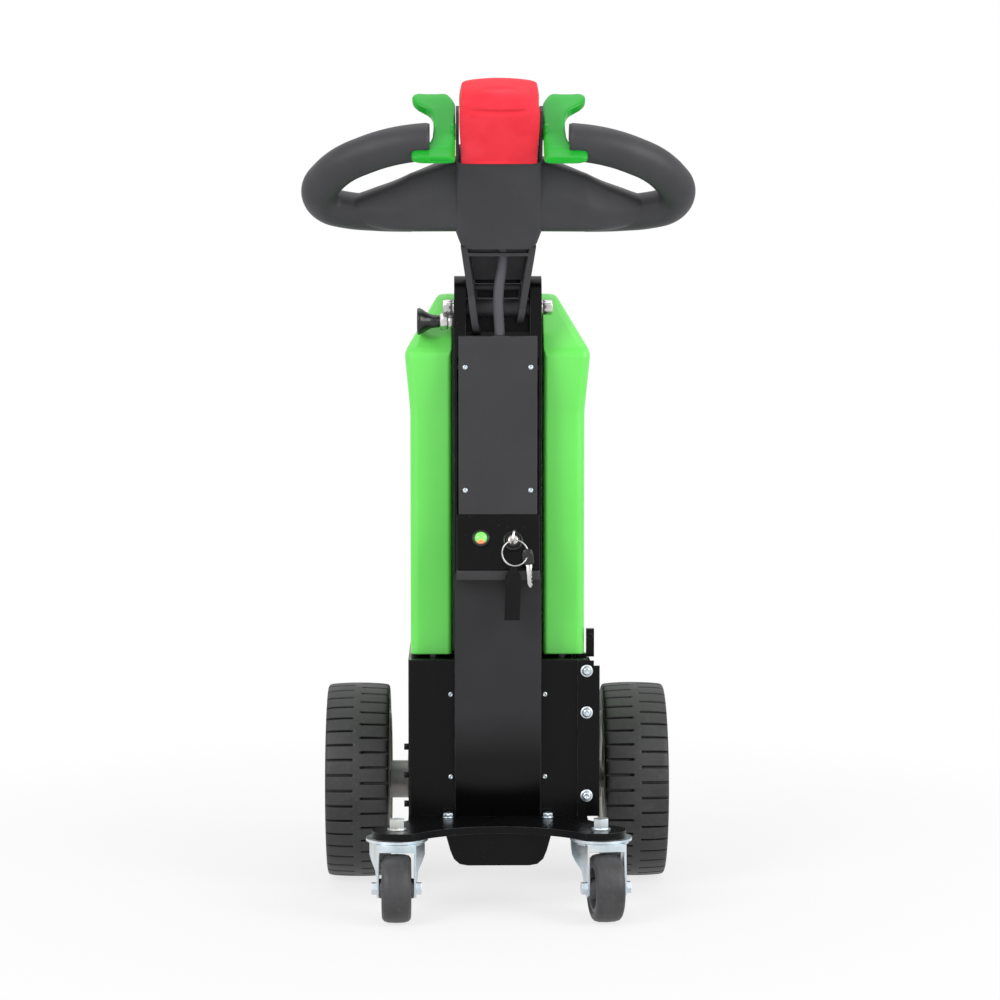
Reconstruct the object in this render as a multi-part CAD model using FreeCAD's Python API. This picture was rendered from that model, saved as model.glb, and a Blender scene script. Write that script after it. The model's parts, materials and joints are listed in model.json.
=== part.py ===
import FreeCAD, Part
import math
import os

V = FreeCAD.Vector
X_AXIS = V(1, 0, 0)
Y_AXIS = V(0, 1, 0)
Z_AXIS = V(0, 0, 1)

# Electric tow tug for pulling trolleys on foot. Millimetres, +Z up, floor at z = 0.
# +X is the operator's right hand and +Y points forward, to the hitch.

# sheet box, the width and length that the rest follows
BOX_HALF = 124.0
BOX_Y0 = -95.0
BOX_Y1 = 195.0
BOX_Z1 = 337.0
SHEET = 4.0

# driven wheels
DRIVE_R = 140.0
DRIVE_W = 90.0
AXLE_OUT = 39.0  # tip of the axle stub, out from the tyre's middle
HUB_OUT = 32.0  # outer end of the wheel hub, out from the same
WHEEL_GAP = 29.0  # between the box and each tyre
DRIVE_X = BOX_HALF + WHEEL_GAP + DRIVE_W / 2
AXLE_TIP = DRIVE_X + AXLE_OUT
DRIVE_Y = 95.0
RIM_R = 98.0  # seat of the tyre on its rim
AXLE_R = 12.5
LUGS = 40  # tread lugs in each of the two rows
SLOT_W = 3.6
SLOT_DEPTH = 7.0
RIB_HALF = 6.0  # plain rib round the middle of the tread
FLANGE_T = 3.0  # gearmotor flange on the side of the box
NECK_R = 20.0
SNOUT_R = 27.0
SNOUT_L = 28.0

# base plate, hung below the axles
AXLE_OVER_PLATE = 31.0
PLATE_Z0 = DRIVE_R - AXLE_OVER_PLATE
PLATE_T = 10.0
PLATE_Z1 = PLATE_Z0 + PLATE_T
PLATE_MID_Y = -177.0  # bottom of the hollow near edge
PLATE_HOLLOW_R = 148.0
APRON_Y = -165.0
APRON_DROP = 46.0
APRON_HALF = 73.0
LUG_R = 34.0  # rounded lug of the plate over each caster

# casters
KING_X = 138.0  # swivel axis of each caster
KING_Y = -200.0
KING_R = 6.0
RACE_R = 42.0
RACE_T = 3.5
CROWN_T = 3.7
CROWN_Z0 = PLATE_Z0 - RACE_T - 0.3 - CROWN_T
CASTER_TOP_GAP = 9.5  # between the wheel and the crown of its fork
CASTER_R = (CROWN_Z0 - CASTER_TOP_GAP) / 2
CASTER_W = 39.0
CASTER_BORE_R = 5.0
CASTER_TREAD = 13.0
FORK_INNER = 23.5  # half width of the fork beside the wheel
FORK_T = 3.0
FORK_WIDE = 37.5  # half width of the fork at its front
TRAIL = 35.0
REST_SWIVEL = {"left": 0.0, "right": 8.0}  # degrees, how each caster stands at rest

# battery cover, a faceted shell: (z, half width, near y, far y) where it changes slope
FOOT_H = 5.0
COVER_Z0 = BOX_Z1 + FOOT_H
COVER_LEVELS = (
    (COVER_Z0, BOX_HALF - 3.0, BOX_Y0 + 25.0, BOX_Y1 - 5.0),
    (680.0, BOX_HALF - 3.0, BOX_Y0 + 25.0, BOX_Y1 - 5.0),
    (762.0, BOX_HALF + 4.5, BOX_Y0 + 10.0, BOX_Y1 + 8.0),
    (843.0, BOX_HALF - 42.0, BOX_Y0 + 75.0, BOX_Y1 - 49.0),
)
COVER_T = 3.0
COVER_CORNER = 12.0
COVER_SOFT = 7.0  # half length of the rounding at each change of slope
GROOVE_BACK = -33.0
BATTERY_Z1 = 720.0

# mast, a folded channel open to the near side
MAST_HALF = 60.0
MAST_T = 4.0
MAST_BACK = -55.0
MAST_NEAR_LOW = -118.0
FOLD_Z = PLATE_Z1 + 106.0  # below here the near side runs back to the box
FOLD_FOOT_Y = BOX_Y0 - 4.0
FOLD_R = 120.0
MAST_NEAR_TOP = -109.0
COVER_PLATE_T = 3.0  # thickness of the mast's cover plates
SCREW_R = 3.6
SCREW_H = 2.2
GROOVE_GAP = 3.5  # between the mast and the cover's groove
GROOVE_HALF = MAST_HALF + GROOVE_GAP
PANEL_Z0 = 463.0  # switch housing, lip and top
PANEL_GAP = 3.0  # joint below it
PANEL_Z1 = 540.0
PANEL_LIP = 8.0  # height of its upright lip
LIP_Y = -138.0
BEZEL_R = 12.0
KEY_EYE = 6.0  # from the middle of a key's bow to its eye
KEY_EYE_R = 2.6
KEY_T = 2.5
RING_R = 20.0
RING_WIRE_R = 0.9
TAG_LONG = 80.0

# ears and pivot at the top of the mast
PIVOT_Y = -80.5
PIVOT_Z = 824.0
PIVOT_R = 8.0
PIVOT_HEAD = 18.0  # across the flats of the pivot bolt's heads
EAR_T = 16.0
EAR_R = 25.5
EAR_TOP = PIVOT_Z + 43.0
EAR_Z0 = PIVOT_Z - 68.0
TOP_COVER_Z1 = PIVOT_Z - 39.0
BACK_WALL_Z1 = PIVOT_Z - 49.0
SHIELD_TOP = PIVOT_Z + 34.0  # sheet behind the arm
SHELF_Z = PIVOT_Z - 84.0
PLUNGER_DROP = 19.5  # locking plunger below the pivot
PLUNGER_R = 5.0
PLUNGER_NUT = 17.0  # across flats

# tiller: its local frame has the pivot at the origin and z along the arm
LEAN = 30.0  # degrees the arm leans towards the operator at rest
ARM_LOW = -45.0
ARM_TOP = 106.0
ARM_T = 9.0
ARM_B = 22.0  # half depth of the arm
ARM_LOW_HALF = MAST_HALF - 29.0  # half width over the side plates, at ARM_LOW and ARM_TOP
ARM_TOP_HALF = MAST_HALF - 9.0
SLEEVE_R = 13.0
SECTOR_R = 38.0  # index plate on the left arm
HEAD_TOP = ARM_TOP + 130.0
HEAD_B = 28.0  # half thickness
HEAD_HALF = MAST_HALF - 2.5
CHEEK_T = 4.5
PAD_HALF = HEAD_HALF - CHEEK_T
PAD_LONG = 100.0
PAD_TOP = HEAD_TOP + PAD_LONG
PAD_ARCH_R = 150.0
PAD_CROWN = 2.0  # the arch above PAD_TOP
PAD_EDGE = 8.0  # drop of the rounded near edge below PAD_TOP
LOOP_TUBE_R = 25.0
LOOP_SLOPE = 40.0  # degrees between the plane of the hand loops and the floor
LOOP_UP = 164.0  # along the arm to where that plane crosses it
LOOP_BACK = 15.5  # and how far behind the arm's middle line
LOOP_CORNERS = (  # (beyond the side of the head, up the slope)
    (92.5, -23.0), (140.5, -19.0), (176.5, -8.0), (186.5, 26.0), (154.5, 73.0), (84.5, 112.0),
    (26.5, 119.0),
)
LOOP_BENDS = (150.0, 31.0, 38.0, 115.0, 195.0)
LOOP_END = 34.5  # cut end of the loop, beyond the side of the head
CABLE_R = 5.5
CABLE_GAP = 0.3
CABLE_Y = -92.0  # where it rises through the shelf
CABLE_BENDS = (60.0, 90.0, 45.0)

# tow jaw on the far face of the box
HITCH_Z = 215.0
HITCH_HALF = 62.0  # half height of its flange
HITCH_WIDE = 60.0
HITCH_T = 10.0
JAW_GAP = 34.0
JAW_T = 10.0
JAW_HALF = 28.0
JAW_ROOT = 24.0  # from the box to the bottom of the jaw
JAW_PIN_Y = BOX_Y1 + 56.0
JAW_PIN_R = 10.0

RUN_GAP = 0.05  # radial clearance of a running fit
SIDE_GAP = 0.3  # axial clearance beside a running fit


def box(x0, x1, y0, y1, z0, z1):
    return Part.makeBox(x1 - x0, y1 - y0, z1 - z0, V(x0, y0, z0))


def rod(point, axis, radius, length):
    return Part.makeCylinder(radius, length, point, axis)


def tube(point, axis, outer, inner, length):
    back = point - axis * 1.0
    return rod(point, axis, outer, length).cut(rod(back, axis, inner, length + 2.0))


def face(points):
    wire = Part.makePolygon(points + [points[0]])
    return Part.Face(wire)


def prism_x(yz, x0, x1):
    """Flat outline in y and z, drawn out along x."""
    return face([V(x0, y, z) for y, z in yz]).extrude(V(x1 - x0, 0, 0))


def prism_y(xz, y0, y1):
    """Flat outline in x and z, drawn out along y."""
    return face([V(x, y0, z) for x, z in xz]).extrude(V(0, y1 - y0, 0))


def prism_z(xy, z0, z1):
    """Flat outline in x and y, drawn out along z."""
    return face([V(x, y, z0) for x, y in xy]).extrude(V(0, 0, z1 - z0))


def hexagon(point, axis, across, height):
    """Bolt head or nut, size given across flats."""
    body = rod(V(0, 0, 0), Z_AXIS, across, height)
    for k in range(6):
        cutter = box(across / 2.0, 2.0 * across, -across, across, -1.0, height + 1.0)
        cutter.rotate(V(0, 0, 0), Z_AXIS, 60.0 * k)
        body = body.cut(cutter)
    turn = FreeCAD.Rotation(Z_AXIS, axis)
    body.Placement = FreeCAD.Placement(point, turn)
    return body


def bolt(point, axis, across, head, washer_r):
    """Washer and hexagon head standing on a face."""
    washer = rod(point, axis, washer_r, 1.6)
    return washer.fuse(hexagon(point + axis * 1.6, axis, across, head))


def join(shapes):
    whole = shapes[0]
    if len(shapes) > 1:
        whole = whole.fuse(shapes[1:])
    return whole.removeSplitter()


def group(shapes):
    return Part.makeCompound(shapes)


def mirrored(shape):
    return shape.mirror(V(0, 0, 0), X_AXIS)


def save(name, shape):
    shape.exportStep("parts/" + name + ".step")


def soften(shape, radius, wanted):
    """Fillet every edge that the test picks out."""
    edges = [e for e in shape.Edges if wanted(e)]
    return shape.makeFillet(radius, edges)


def runs_along(edge, axis):
    ends = [v.Point for v in edge.Vertexes]
    if len(ends) < 2:
        return False
    way = ends[1] - ends[0]
    return way.Length > 1e-6 and abs(way.normalize().dot(axis)) > 0.999


def revolve_x(profile, centre):
    """Outline of (x, radius) turned about the x line through the centre."""
    outline = face([V(x, 0, r) for x, r in profile])
    body = outline.revolve(V(0, 0, 0), X_AXIS, 360.0)
    body.translate(centre)
    return body


# ---------------------------------------------------------------- chassis


def base_plate():
    back = box(-BOX_HALF, BOX_HALF, BOX_Y0 - 55.0, BOX_Y1, PLATE_Z0, PLATE_Z1)
    shoulder = prism_z(
        [(0, KING_Y - LUG_R), (KING_X, KING_Y - LUG_R), (KING_X + LUG_R, KING_Y),
         (BOX_HALF, BOX_Y0 - 33), (0, BOX_Y0 - 33)],
        PLATE_Z0,
        PLATE_Z1,
    )
    nose = rod(V(KING_X, KING_Y, PLATE_Z0), Z_AXIS, LUG_R, PLATE_T)
    hollow = rod(V(0, PLATE_MID_Y - PLATE_HOLLOW_R, 0), Z_AXIS, PLATE_HOLLOW_R, 300.0)
    holes = [rod(V(s * KING_X, KING_Y, 0), Z_AXIS, KING_R, 300.0) for s in (-1, 1)]
    plate = join([back, shoulder, mirrored(shoulder), nose, mirrored(nose)])
    return plate.cut([hollow] + holes)


def apron():
    """Folded stiffener under the near edge of the plate, with big lower corners."""
    low = PLATE_Z0 - APRON_DROP
    half = [
        (APRON_HALF, PLATE_Z0), (APRON_HALF - 7, low + 21), (APRON_HALF - 12, low + 9),
        (APRON_HALF - 20, low + 2), (APRON_HALF - 31, low),
    ]
    outer = [(-x, z) for x, z in half] + [(x, z) for x, z in reversed(half)]
    near = prism_y(outer, APRON_Y, APRON_Y + SHEET)
    hoop = prism_y(outer, APRON_Y, -60.0)
    thin = 1.0 - SHEET / (APRON_HALF - 12.0)
    inner = [(x * thin, z + SHEET if z < PLATE_Z0 else z + 1) for x, z in outer]
    return near.fuse(hoop.cut(prism_y(inner, APRON_Y + SHEET, -50.0)))


def chassis_box():
    outer = box(-BOX_HALF, BOX_HALF, BOX_Y0, BOX_Y1, PLATE_Z1, BOX_Z1)
    outer = soften(outer, 5.0, lambda e: runs_along(e, Z_AXIS))
    over = BOX_Z1 + 100.0
    recess = box(-MAST_HALF, MAST_HALF, BOX_Y0 - 5, MAST_BACK, 0, over)
    inner = box(
        -BOX_HALF + SHEET, BOX_HALF - SHEET, BOX_Y0 + SHEET, BOX_Y1 - SHEET,
        PLATE_Z1 + SHEET, BOX_Z1 - SHEET,
    )
    core = box(-MAST_HALF - SHEET, MAST_HALF + SHEET, BOX_Y0 - 5, MAST_BACK + SHEET, 0, over)
    inner = inner.cut(core)
    axle = rod(V(-DRIVE_X, DRIVE_Y, DRIVE_R), X_AXIS, NECK_R, 2 * DRIVE_X)
    return outer.cut(recess).cut(inner).cut(axle)


def side_bracket():
    """Angle on the right of the box, bolted through its near leg."""
    near = BOX_Y0 - SHEET
    leg = box(BOX_HALF - 14.0, BOX_HALF + 17.0, near, BOX_Y0, PLATE_Z1, BOX_Z1 - 1.0)
    wing = box(BOX_HALF, BOX_HALF + SHEET, BOX_Y0, BOX_Y0 + 60.0, PLATE_Z1, BOX_Z1 - 1.0)
    notch = box(BOX_HALF + 9.0, BOX_HALF + 30.0, near - 5.0, BOX_Y0 + 5.0, BOX_Z1 - 8.0, BOX_Z1 + 10.0)
    bolts = [
        bolt(V(BOX_HALF - 1.0, near, z), V(0, -1, 0), 13.0, 5.5, 8.5)
        for z in (PLATE_Z1 + 29.0, BOX_Z1 - 73.0, BOX_Z1 - 15.0)
    ]
    return join([leg, wing]).cut(notch), group(bolts)


def motor_bolts():
    """Cap screws that hold the gearmotor carrier, in a row on each side of the box."""
    y = BOX_Y0 + 67.0
    right = [
        rod(V(BOX_HALF, y, z), X_AXIS, 4.5, 7.0)
        for z in (PLATE_Z1 + 6.0, PLATE_Z1 + 47.0, PLATE_Z1 + 87.0)
    ]
    return group(right + [mirrored(r) for r in right])


def cover_latch():
    out = BOX_HALF + 11.0
    near = BOX_Y0 + 35.0
    lug = box(BOX_HALF, out, near, near + 12.0, BOX_Z1, BOX_Z1 + 39.0)
    lug = lug.fuse(box(BOX_HALF - 12.0, out, near, near + 12.0, BOX_Z1, BOX_Z1 + 4.5))
    pin = rod(V(BOX_HALF + 5.0, near - 6.0, BOX_Z1 + 29.0), Y_AXIS, 4.0, 6.0)
    return lug.fuse(pin)


def gearmotor(side):
    """Motor and gear housing in the box, flange on its side and the fixed axle stub."""
    floor = PLATE_Z1 + SHEET
    wall = BOX_HALF - SHEET
    housing = box(wall - 22.0, wall, DRIVE_Y - 42, DRIVE_Y + 42, floor, floor + 104.0)
    motor = rod(V(14.0, DRIVE_Y, floor + 60.0), X_AXIS, 40.0, wall - 36.0)
    neck = rod(V(wall, DRIVE_Y, DRIVE_R), X_AXIS, NECK_R, SHEET)
    flange = rod(V(BOX_HALF, DRIVE_Y, DRIVE_R), X_AXIS, 46.0, FLANGE_T)
    flange = flange.common(box(0, DRIVE_X, DRIVE_Y - 60, DRIVE_Y + 60, PLATE_Z1, DRIVE_R + 60))
    snout = rod(V(BOX_HALF, DRIVE_Y, DRIVE_R), X_AXIS, SNOUT_R, SNOUT_L)
    stub = rod(V(BOX_HALF, DRIVE_Y, DRIVE_R), X_AXIS, AXLE_R, AXLE_TIP - BOX_HALF)
    body = join([housing, motor, neck, flange, snout, stub])
    if side == "left":
        body = mirrored(body)
    return body


def battery_block():
    half = BOX_HALF - 20.0
    return box(-half, half, GROOVE_BACK + COVER_T, BOX_Y1 - 21.0, BOX_Z1, BATTERY_Z1)


# ---------------------------------------------------------------- battery cover


def rounded_rect(z, half, y0, y1, corner):
    """Closed wire at one height, with rounded corners."""
    points = [(half, y0), (half, y1), (-half, y1), (-half, y0)]
    signs = [(-1, 1), (-1, -1), (1, -1), (1, 1)]
    edges = []
    marks = []
    for (px, py), (sx, sy) in zip(points, signs):
        along_x = V(px + sx * corner, py, z)
        along_y = V(px, py + sy * corner, z)
        tip = corner * (1.0 - math.sqrt(0.5))
        middle = V(px + sx * tip, py + sy * tip, z)
        first, last = (along_x, along_y) if sx * sy < 0 else (along_y, along_x)
        marks.append((first, middle, last))
    for k in range(4):
        first, middle, last = marks[k]
        edges.append(Part.Arc(first, middle, last).toShape())
        edges.append(Part.makeLine(last, marks[(k + 1) % 4][0]))
    return Part.Wire(edges)


def between(a, b, share):
    return tuple(u + (v - u) * share for u, v in zip(a, b))


def cover_profile():
    """The levels, with each change of slope rounded off by three closer levels."""
    top = COVER_LEVELS[-1]
    lid = (top[0], top[1] - 8.0, top[2] + 8.0, top[3] - 8.0)
    marks = list(COVER_LEVELS) + [lid]
    levels = [marks[0]]
    for k in range(1, len(marks) - 1):
        here = marks[k]
        low = between(here, marks[k - 1], COVER_SOFT / math.dist(here[:2], marks[k - 1][:2]))
        high = between(here, marks[k + 1], COVER_SOFT / math.dist(here[:2], marks[k + 1][:2]))
        levels += [low, between(between(low, high, 0.5), here, 0.5), high]
    return levels


def cover_body(shrink, z_low):
    """Faceted body; shrink brings every face in by that much."""
    wires = []
    for k, (z, half, y0, y1) in enumerate(cover_profile()):
        height = z_low if k == 0 else z - shrink * (z > COVER_LEVELS[-2][0])
        wires.append(
            rounded_rect(height, half - shrink, y0 + shrink, y1 - shrink, COVER_CORNER - shrink)
        )
    return Part.makeLoft(wires, True, True)


def battery_cover():
    outer = cover_body(0.0, COVER_Z0)
    over = COVER_LEVELS[-1][0] + 50.0
    front = BOX_Y0 - 100.0
    groove = box(-GROOVE_HALF, GROOVE_HALF, front, GROOVE_BACK, 0.0, over)
    outer = outer.cut(groove)
    lips = [
        e for e in outer.Edges
        if abs(abs(e.BoundBox.Center.x) - GROOVE_HALF) < 0.01
        and e.BoundBox.XLength < 0.01 and e.BoundBox.YMax < GROOVE_BACK - 20.0
        and e.BoundBox.ZMin < COVER_Z0 + 1.0 and e.BoundBox.ZLength > 60.0
    ]
    outer = outer.makeFillet(6.0, lips)
    inner = cover_body(COVER_T, COVER_Z0 - 5.0)
    wall = GROOVE_HALF + COVER_T
    inner = inner.cut(box(-wall, wall, front, GROOVE_BACK + COVER_T, 0.0, over))
    return outer.cut(inner)


def cover_feet():
    x = BOX_HALF - 36.0
    near = [rod(V(s * x, BOX_Y0 + 31.0, BOX_Z1), Z_AXIS, 6.0, FOOT_H) for s in (-1, 1)]
    far = [rod(V(s * x, BOX_Y1 - 11.0, BOX_Z1), Z_AXIS, 6.0, FOOT_H) for s in (-1, 1)]
    return group(near + far)


# ---------------------------------------------------------------- mast


def near_side(inset):
    """Edges of the mast's near side below the panel: straight down, a bend, then back to its foot."""
    y = MAST_NEAR_LOW + inset
    lean_back = math.atan2(FOLD_FOOT_Y - MAST_NEAR_LOW, FOLD_Z - PLATE_Z1)
    radius = FOLD_R - inset
    reach = FOLD_R * math.tan(lean_back / 2)
    centre = V(0, y + radius, FOLD_Z + reach)
    upper = V(0, y, FOLD_Z + reach)
    middle = centre - V(0, radius * math.cos(lean_back / 2), radius * math.sin(lean_back / 2))
    lower = centre - V(0, radius * math.cos(lean_back), radius * math.sin(lean_back))
    drop = lower.z - PLATE_Z1
    foot = V(0, lower.y + drop * math.tan(lean_back), PLATE_Z1)
    top = V(0, y, PANEL_Z0 - PANEL_GAP)
    edges = [Part.makeLine(top, upper), Part.Arc(upper, middle, lower).toShape(), Part.makeLine(lower, foot)]
    return edges, top, foot


def mast_side(x0, x1, round_top):
    """One side of the channel; with the ear's round top where that is asked for."""
    top = EAR_TOP - EAR_R
    near = MAST_NEAR_TOP + COVER_PLATE_T
    edges, start, foot = near_side(COVER_PLATE_T)
    rest = [
        foot, V(0, MAST_BACK, PLATE_Z1), V(0, MAST_BACK, top), V(0, near, top), V(0, near, PANEL_Z1),
        V(0, start.y, PANEL_Z0), start,
    ]
    edges += [Part.makeLine(a, b) for a, b in zip(rest, rest[1:])]
    low = Part.Face(Part.Wire(edges)).extrude(V(x1 - x0, 0, 0))
    low.translate(V(x0, 0, 0))
    if round_top:
        low = low.fuse(rod(V(x0, PIVOT_Y, top), X_AXIS, EAR_R, x1 - x0))
    return low


def mast():
    right = mast_side(MAST_HALF - MAST_T, MAST_HALF, True)
    block = mast_side(MAST_HALF - EAR_T, MAST_HALF - MAST_T, True)
    block = block.common(box(0, 2 * MAST_HALF, -200, 0, EAR_Z0, EAR_TOP + 1))
    right = right.fuse(block)
    high = MAST_NEAR_TOP + COVER_PLATE_T
    back = box(-MAST_HALF, MAST_HALF, MAST_BACK - MAST_T, MAST_BACK, PLATE_Z1, BACK_WALL_Z1)
    foot = box(-MAST_HALF, MAST_HALF, BOX_Y0 + 6.0, MAST_BACK, PLATE_Z1, PLATE_Z1 + 6.0)
    shelf = box(-MAST_HALF, MAST_HALF, high, MAST_BACK, SHELF_Z, SHELF_Z + MAST_T)
    hole = rod(V(-2 * MAST_HALF, PIVOT_Y, PIVOT_Z), X_AXIS, PIVOT_R, 4 * MAST_HALF)
    pin_hole = rod(V(-2 * MAST_HALF, PIVOT_Y, PIVOT_Z - PLUNGER_DROP), X_AXIS, PLUNGER_R, 2 * MAST_HALF)
    cable = rod(V(0, CABLE_Y, SHELF_Z - 40.0), Z_AXIS, CABLE_R + 3.5, 100.0)
    body = join([right, mirrored(right), back, foot, shelf, shield()])
    return body.cut([hole, pin_hole, cable])


def shield():
    """Folded sheet behind the arm, from the channel's back wall up past the pivot."""
    t = 2.0
    y = GROOVE_BACK - 1.0
    z = BACK_WALL_Z1
    outline = [
        (MAST_BACK, z - 30), (MAST_BACK + t, z - 30), (MAST_BACK + t, z - 12), (y, z + 14), (y, SHIELD_TOP),
        (y - t, SHIELD_TOP), (y - t, z + 15), (MAST_BACK, z - 11),
    ]
    return prism_x(outline, -MAST_HALF, MAST_HALF)


def screw_head(x, y, z):
    """Button head of a screw that points along +y."""
    return rod(V(x, y - SCREW_H, z), Y_AXIS, SCREW_R, SCREW_H)


def lower_cover():
    """Sheet over the channel, bent back at its foot to meet the box."""
    half = MAST_HALF - 1.0
    edges, top, foot = near_side(0.0)
    inner, inner_top, inner_foot = near_side(COVER_PLATE_T)
    edges += inner + [Part.makeLine(top, inner_top), Part.makeLine(foot, inner_foot)]
    plate = Part.Face(Part.Wire(Part.__sortEdges__(edges))).extrude(V(2 * half, 0, 0))
    plate.translate(V(-half, 0, 0))
    return plate


def mast_screws():
    """Button heads beside the mast, on the box, and two bolts that stand on the plate."""
    x = MAST_HALF + 5.0
    heads = [
        screw_head(s * x, BOX_Y0, z) for s in (-1, 1) for z in (PLATE_Z1 + 55.0, PLATE_Z1 + 170.0)
    ]
    bolts = [
        bolt(V(s * (x + 4.0), BOX_Y0 - 14.0, PLATE_Z1), Z_AXIS, 13.0, 5.5, 8.0) for s in (-1, 1)
    ]
    return group(heads + bolts)


def upper_cover():
    half = MAST_HALF - 6.0
    inside = MAST_NEAR_TOP + COVER_PLATE_T
    plate = prism_x(
        [(MAST_NEAR_TOP, PANEL_Z1), (MAST_NEAR_TOP, TOP_COVER_Z1 - 12), (inside, TOP_COVER_Z1),
         (inside, PANEL_Z1)],
        -half, half,
    )
    screws = [
        screw_head(s * (half - 9.0), MAST_NEAR_TOP, z)
        for s in (-1, 1) for z in (PANEL_Z1 + 33.0, TOP_COVER_Z1 - 43.0)
    ]
    return plate, group(screws)


def switch_housing():
    """Wedge that carries the lamp and the key switch on its sloping face."""
    half = MAST_HALF - 3.0
    return prism_x(
        [
            (MAST_NEAR_LOW + COVER_PLATE_T, PANEL_Z0), (LIP_Y + 2, PANEL_Z0), (LIP_Y, PANEL_Z0 + 3),
            (LIP_Y, PANEL_Z0 + PANEL_LIP), (MAST_NEAR_TOP, PANEL_Z1),
            (MAST_NEAR_TOP + COVER_PLATE_T, PANEL_Z1),
        ],
        -half, half,
    )


def panel_frame(x, z):
    """Point on the sloping face and the face's outward direction."""
    rise = PANEL_Z1 - PANEL_Z0 - PANEL_LIP
    t = (PANEL_Z1 - z) / rise
    y = MAST_NEAR_TOP + (LIP_Y - MAST_NEAR_TOP) * t
    way = V(0, -rise, MAST_NEAR_TOP - LIP_Y)
    return V(x, y, z), way.normalize()


def status_lamp():
    point, out = panel_frame(-23.5, PANEL_Z1 - 34.0)
    bezel = tube(point, out, BEZEL_R, BEZEL_R - 3.0, 4.0)
    lens = rod(point, out, BEZEL_R - 3.0, 5.5)
    lens = soften(lens, 2.0, lambda e: e.CenterOfMass.sub(point).dot(out) > 5.0)
    return bezel, lens


def key_switch():
    point, out = panel_frame(20.5, PANEL_Z1 - 36.0)
    bezel = tube(point, out, BEZEL_R, BEZEL_R - 3.5, 4.5)
    barrel = rod(point, out, BEZEL_R - 3.5, 7.0)
    return bezel.fuse(barrel)


def key_shape():
    """Key drawn in the y, z plane: bow above, blade along +z."""
    bow = rod(V(-KEY_T / 2, 0, 0), X_AXIS, 11.0, KEY_T)
    eye = rod(V(-KEY_T, 0, -KEY_EYE), X_AXIS, KEY_EYE_R, 2 * KEY_T)
    blade = box(-1.0, 1.0, -3.2, 3.2, 9.0, 38.0)
    return bow.fuse(blade).cut(eye)


def keys():
    """Key in the switch, ring through its eye, spare key and strap hanging."""
    point, out = panel_frame(20.5, PANEL_Z1 - 36.0)
    turn = FreeCAD.Rotation(Z_AXIS, out * -1.0)
    fitted = key_shape()
    fitted = fitted.common(box(-5, 5, -20, 20, -20, 14.0))
    fitted.Placement = FreeCAD.Placement(point + out * 21.0, turn)
    eye = point + out * (21.0 + KEY_EYE)
    hang = KEY_EYE_R - RING_WIRE_R - 0.2
    centre = eye - V(0, 0, RING_R + hang)
    ring = Part.makeTorus(RING_R, RING_WIRE_R, V(0, 0, 0), Y_AXIS)
    ring.translate(centre)
    spare = key_shape()
    spare.rotate(V(0, 0, 0), Y_AXIS, 160.0)
    down = V(math.sin(math.radians(20.0)), 0, -math.cos(math.radians(20.0)))
    side = V(math.cos(math.radians(-35.0)), 0, math.sin(math.radians(-35.0)))
    spare.translate(centre + side * RING_R + down * (hang + KEY_EYE))
    fold = tube(V(-3.5, 0, 0), X_AXIS, 2.6, 1.8, 7.0)
    outline = [(-3.5, -2.2), (-11, -10), (-11, -TAG_LONG), (11, -TAG_LONG), (11, -10), (3.5, -2.2)]
    tag = prism_y(outline, -0.8, 0.8)
    strap = fold.fuse(tag)
    strap.translate(centre - V(0, 0, RING_R))
    return fitted, ring, spare, strap


def pivot_bolt():
    shaft = rod(V(-MAST_HALF - 2, PIVOT_Y, PIVOT_Z), X_AXIS, PIVOT_R, 2 * MAST_HALF + 4)
    right = bolt(V(MAST_HALF, PIVOT_Y, PIVOT_Z), X_AXIS, PIVOT_HEAD, 14.0, PIVOT_HEAD / 2 + 1.5)
    left = bolt(V(-MAST_HALF, PIVOT_Y, PIVOT_Z), V(-1, 0, 0), PIVOT_HEAD, 14.0, PIVOT_HEAD / 2 + 1.5)
    return join([shaft, right, left])


def index_plunger():
    """Pull knob that locks the tiller, drawn back."""
    z = PIVOT_Z - PLUNGER_DROP
    root = -MAST_HALF - 6.0
    body = rod(V(root, PIVOT_Y, z), X_AXIS, PLUNGER_R + 3.0, 6.0)
    sleeve = rod(V(root - 16.0, PIVOT_Y, z), X_AXIS, PLUNGER_R + 1.5, 16.0)
    pin = rod(V(root, PIVOT_Y, z), X_AXIS, PLUNGER_R, 6.0 + EAR_T)
    nut = hexagon(V(root - 2.0, PIVOT_Y, z), V(-1, 0, 0), PLUNGER_NUT, 10.0)
    outline = [(-45, 0), (-45, 13), (-43, 15.5), (-39, 16), (-32, 12), (-22, 8.5), (-14, 8), (-14, 0)]
    knob = revolve_x([(root + x, r) for x, r in outline], V(0, PIVOT_Y, z))
    knob = knob.cut(rod(V(root - 16.0, PIVOT_Y, z), X_AXIS, PLUNGER_R + 1.5, 9.0))
    return join([body, sleeve, pin, nut]), knob


# ---------------------------------------------------------------- hitch


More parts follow.
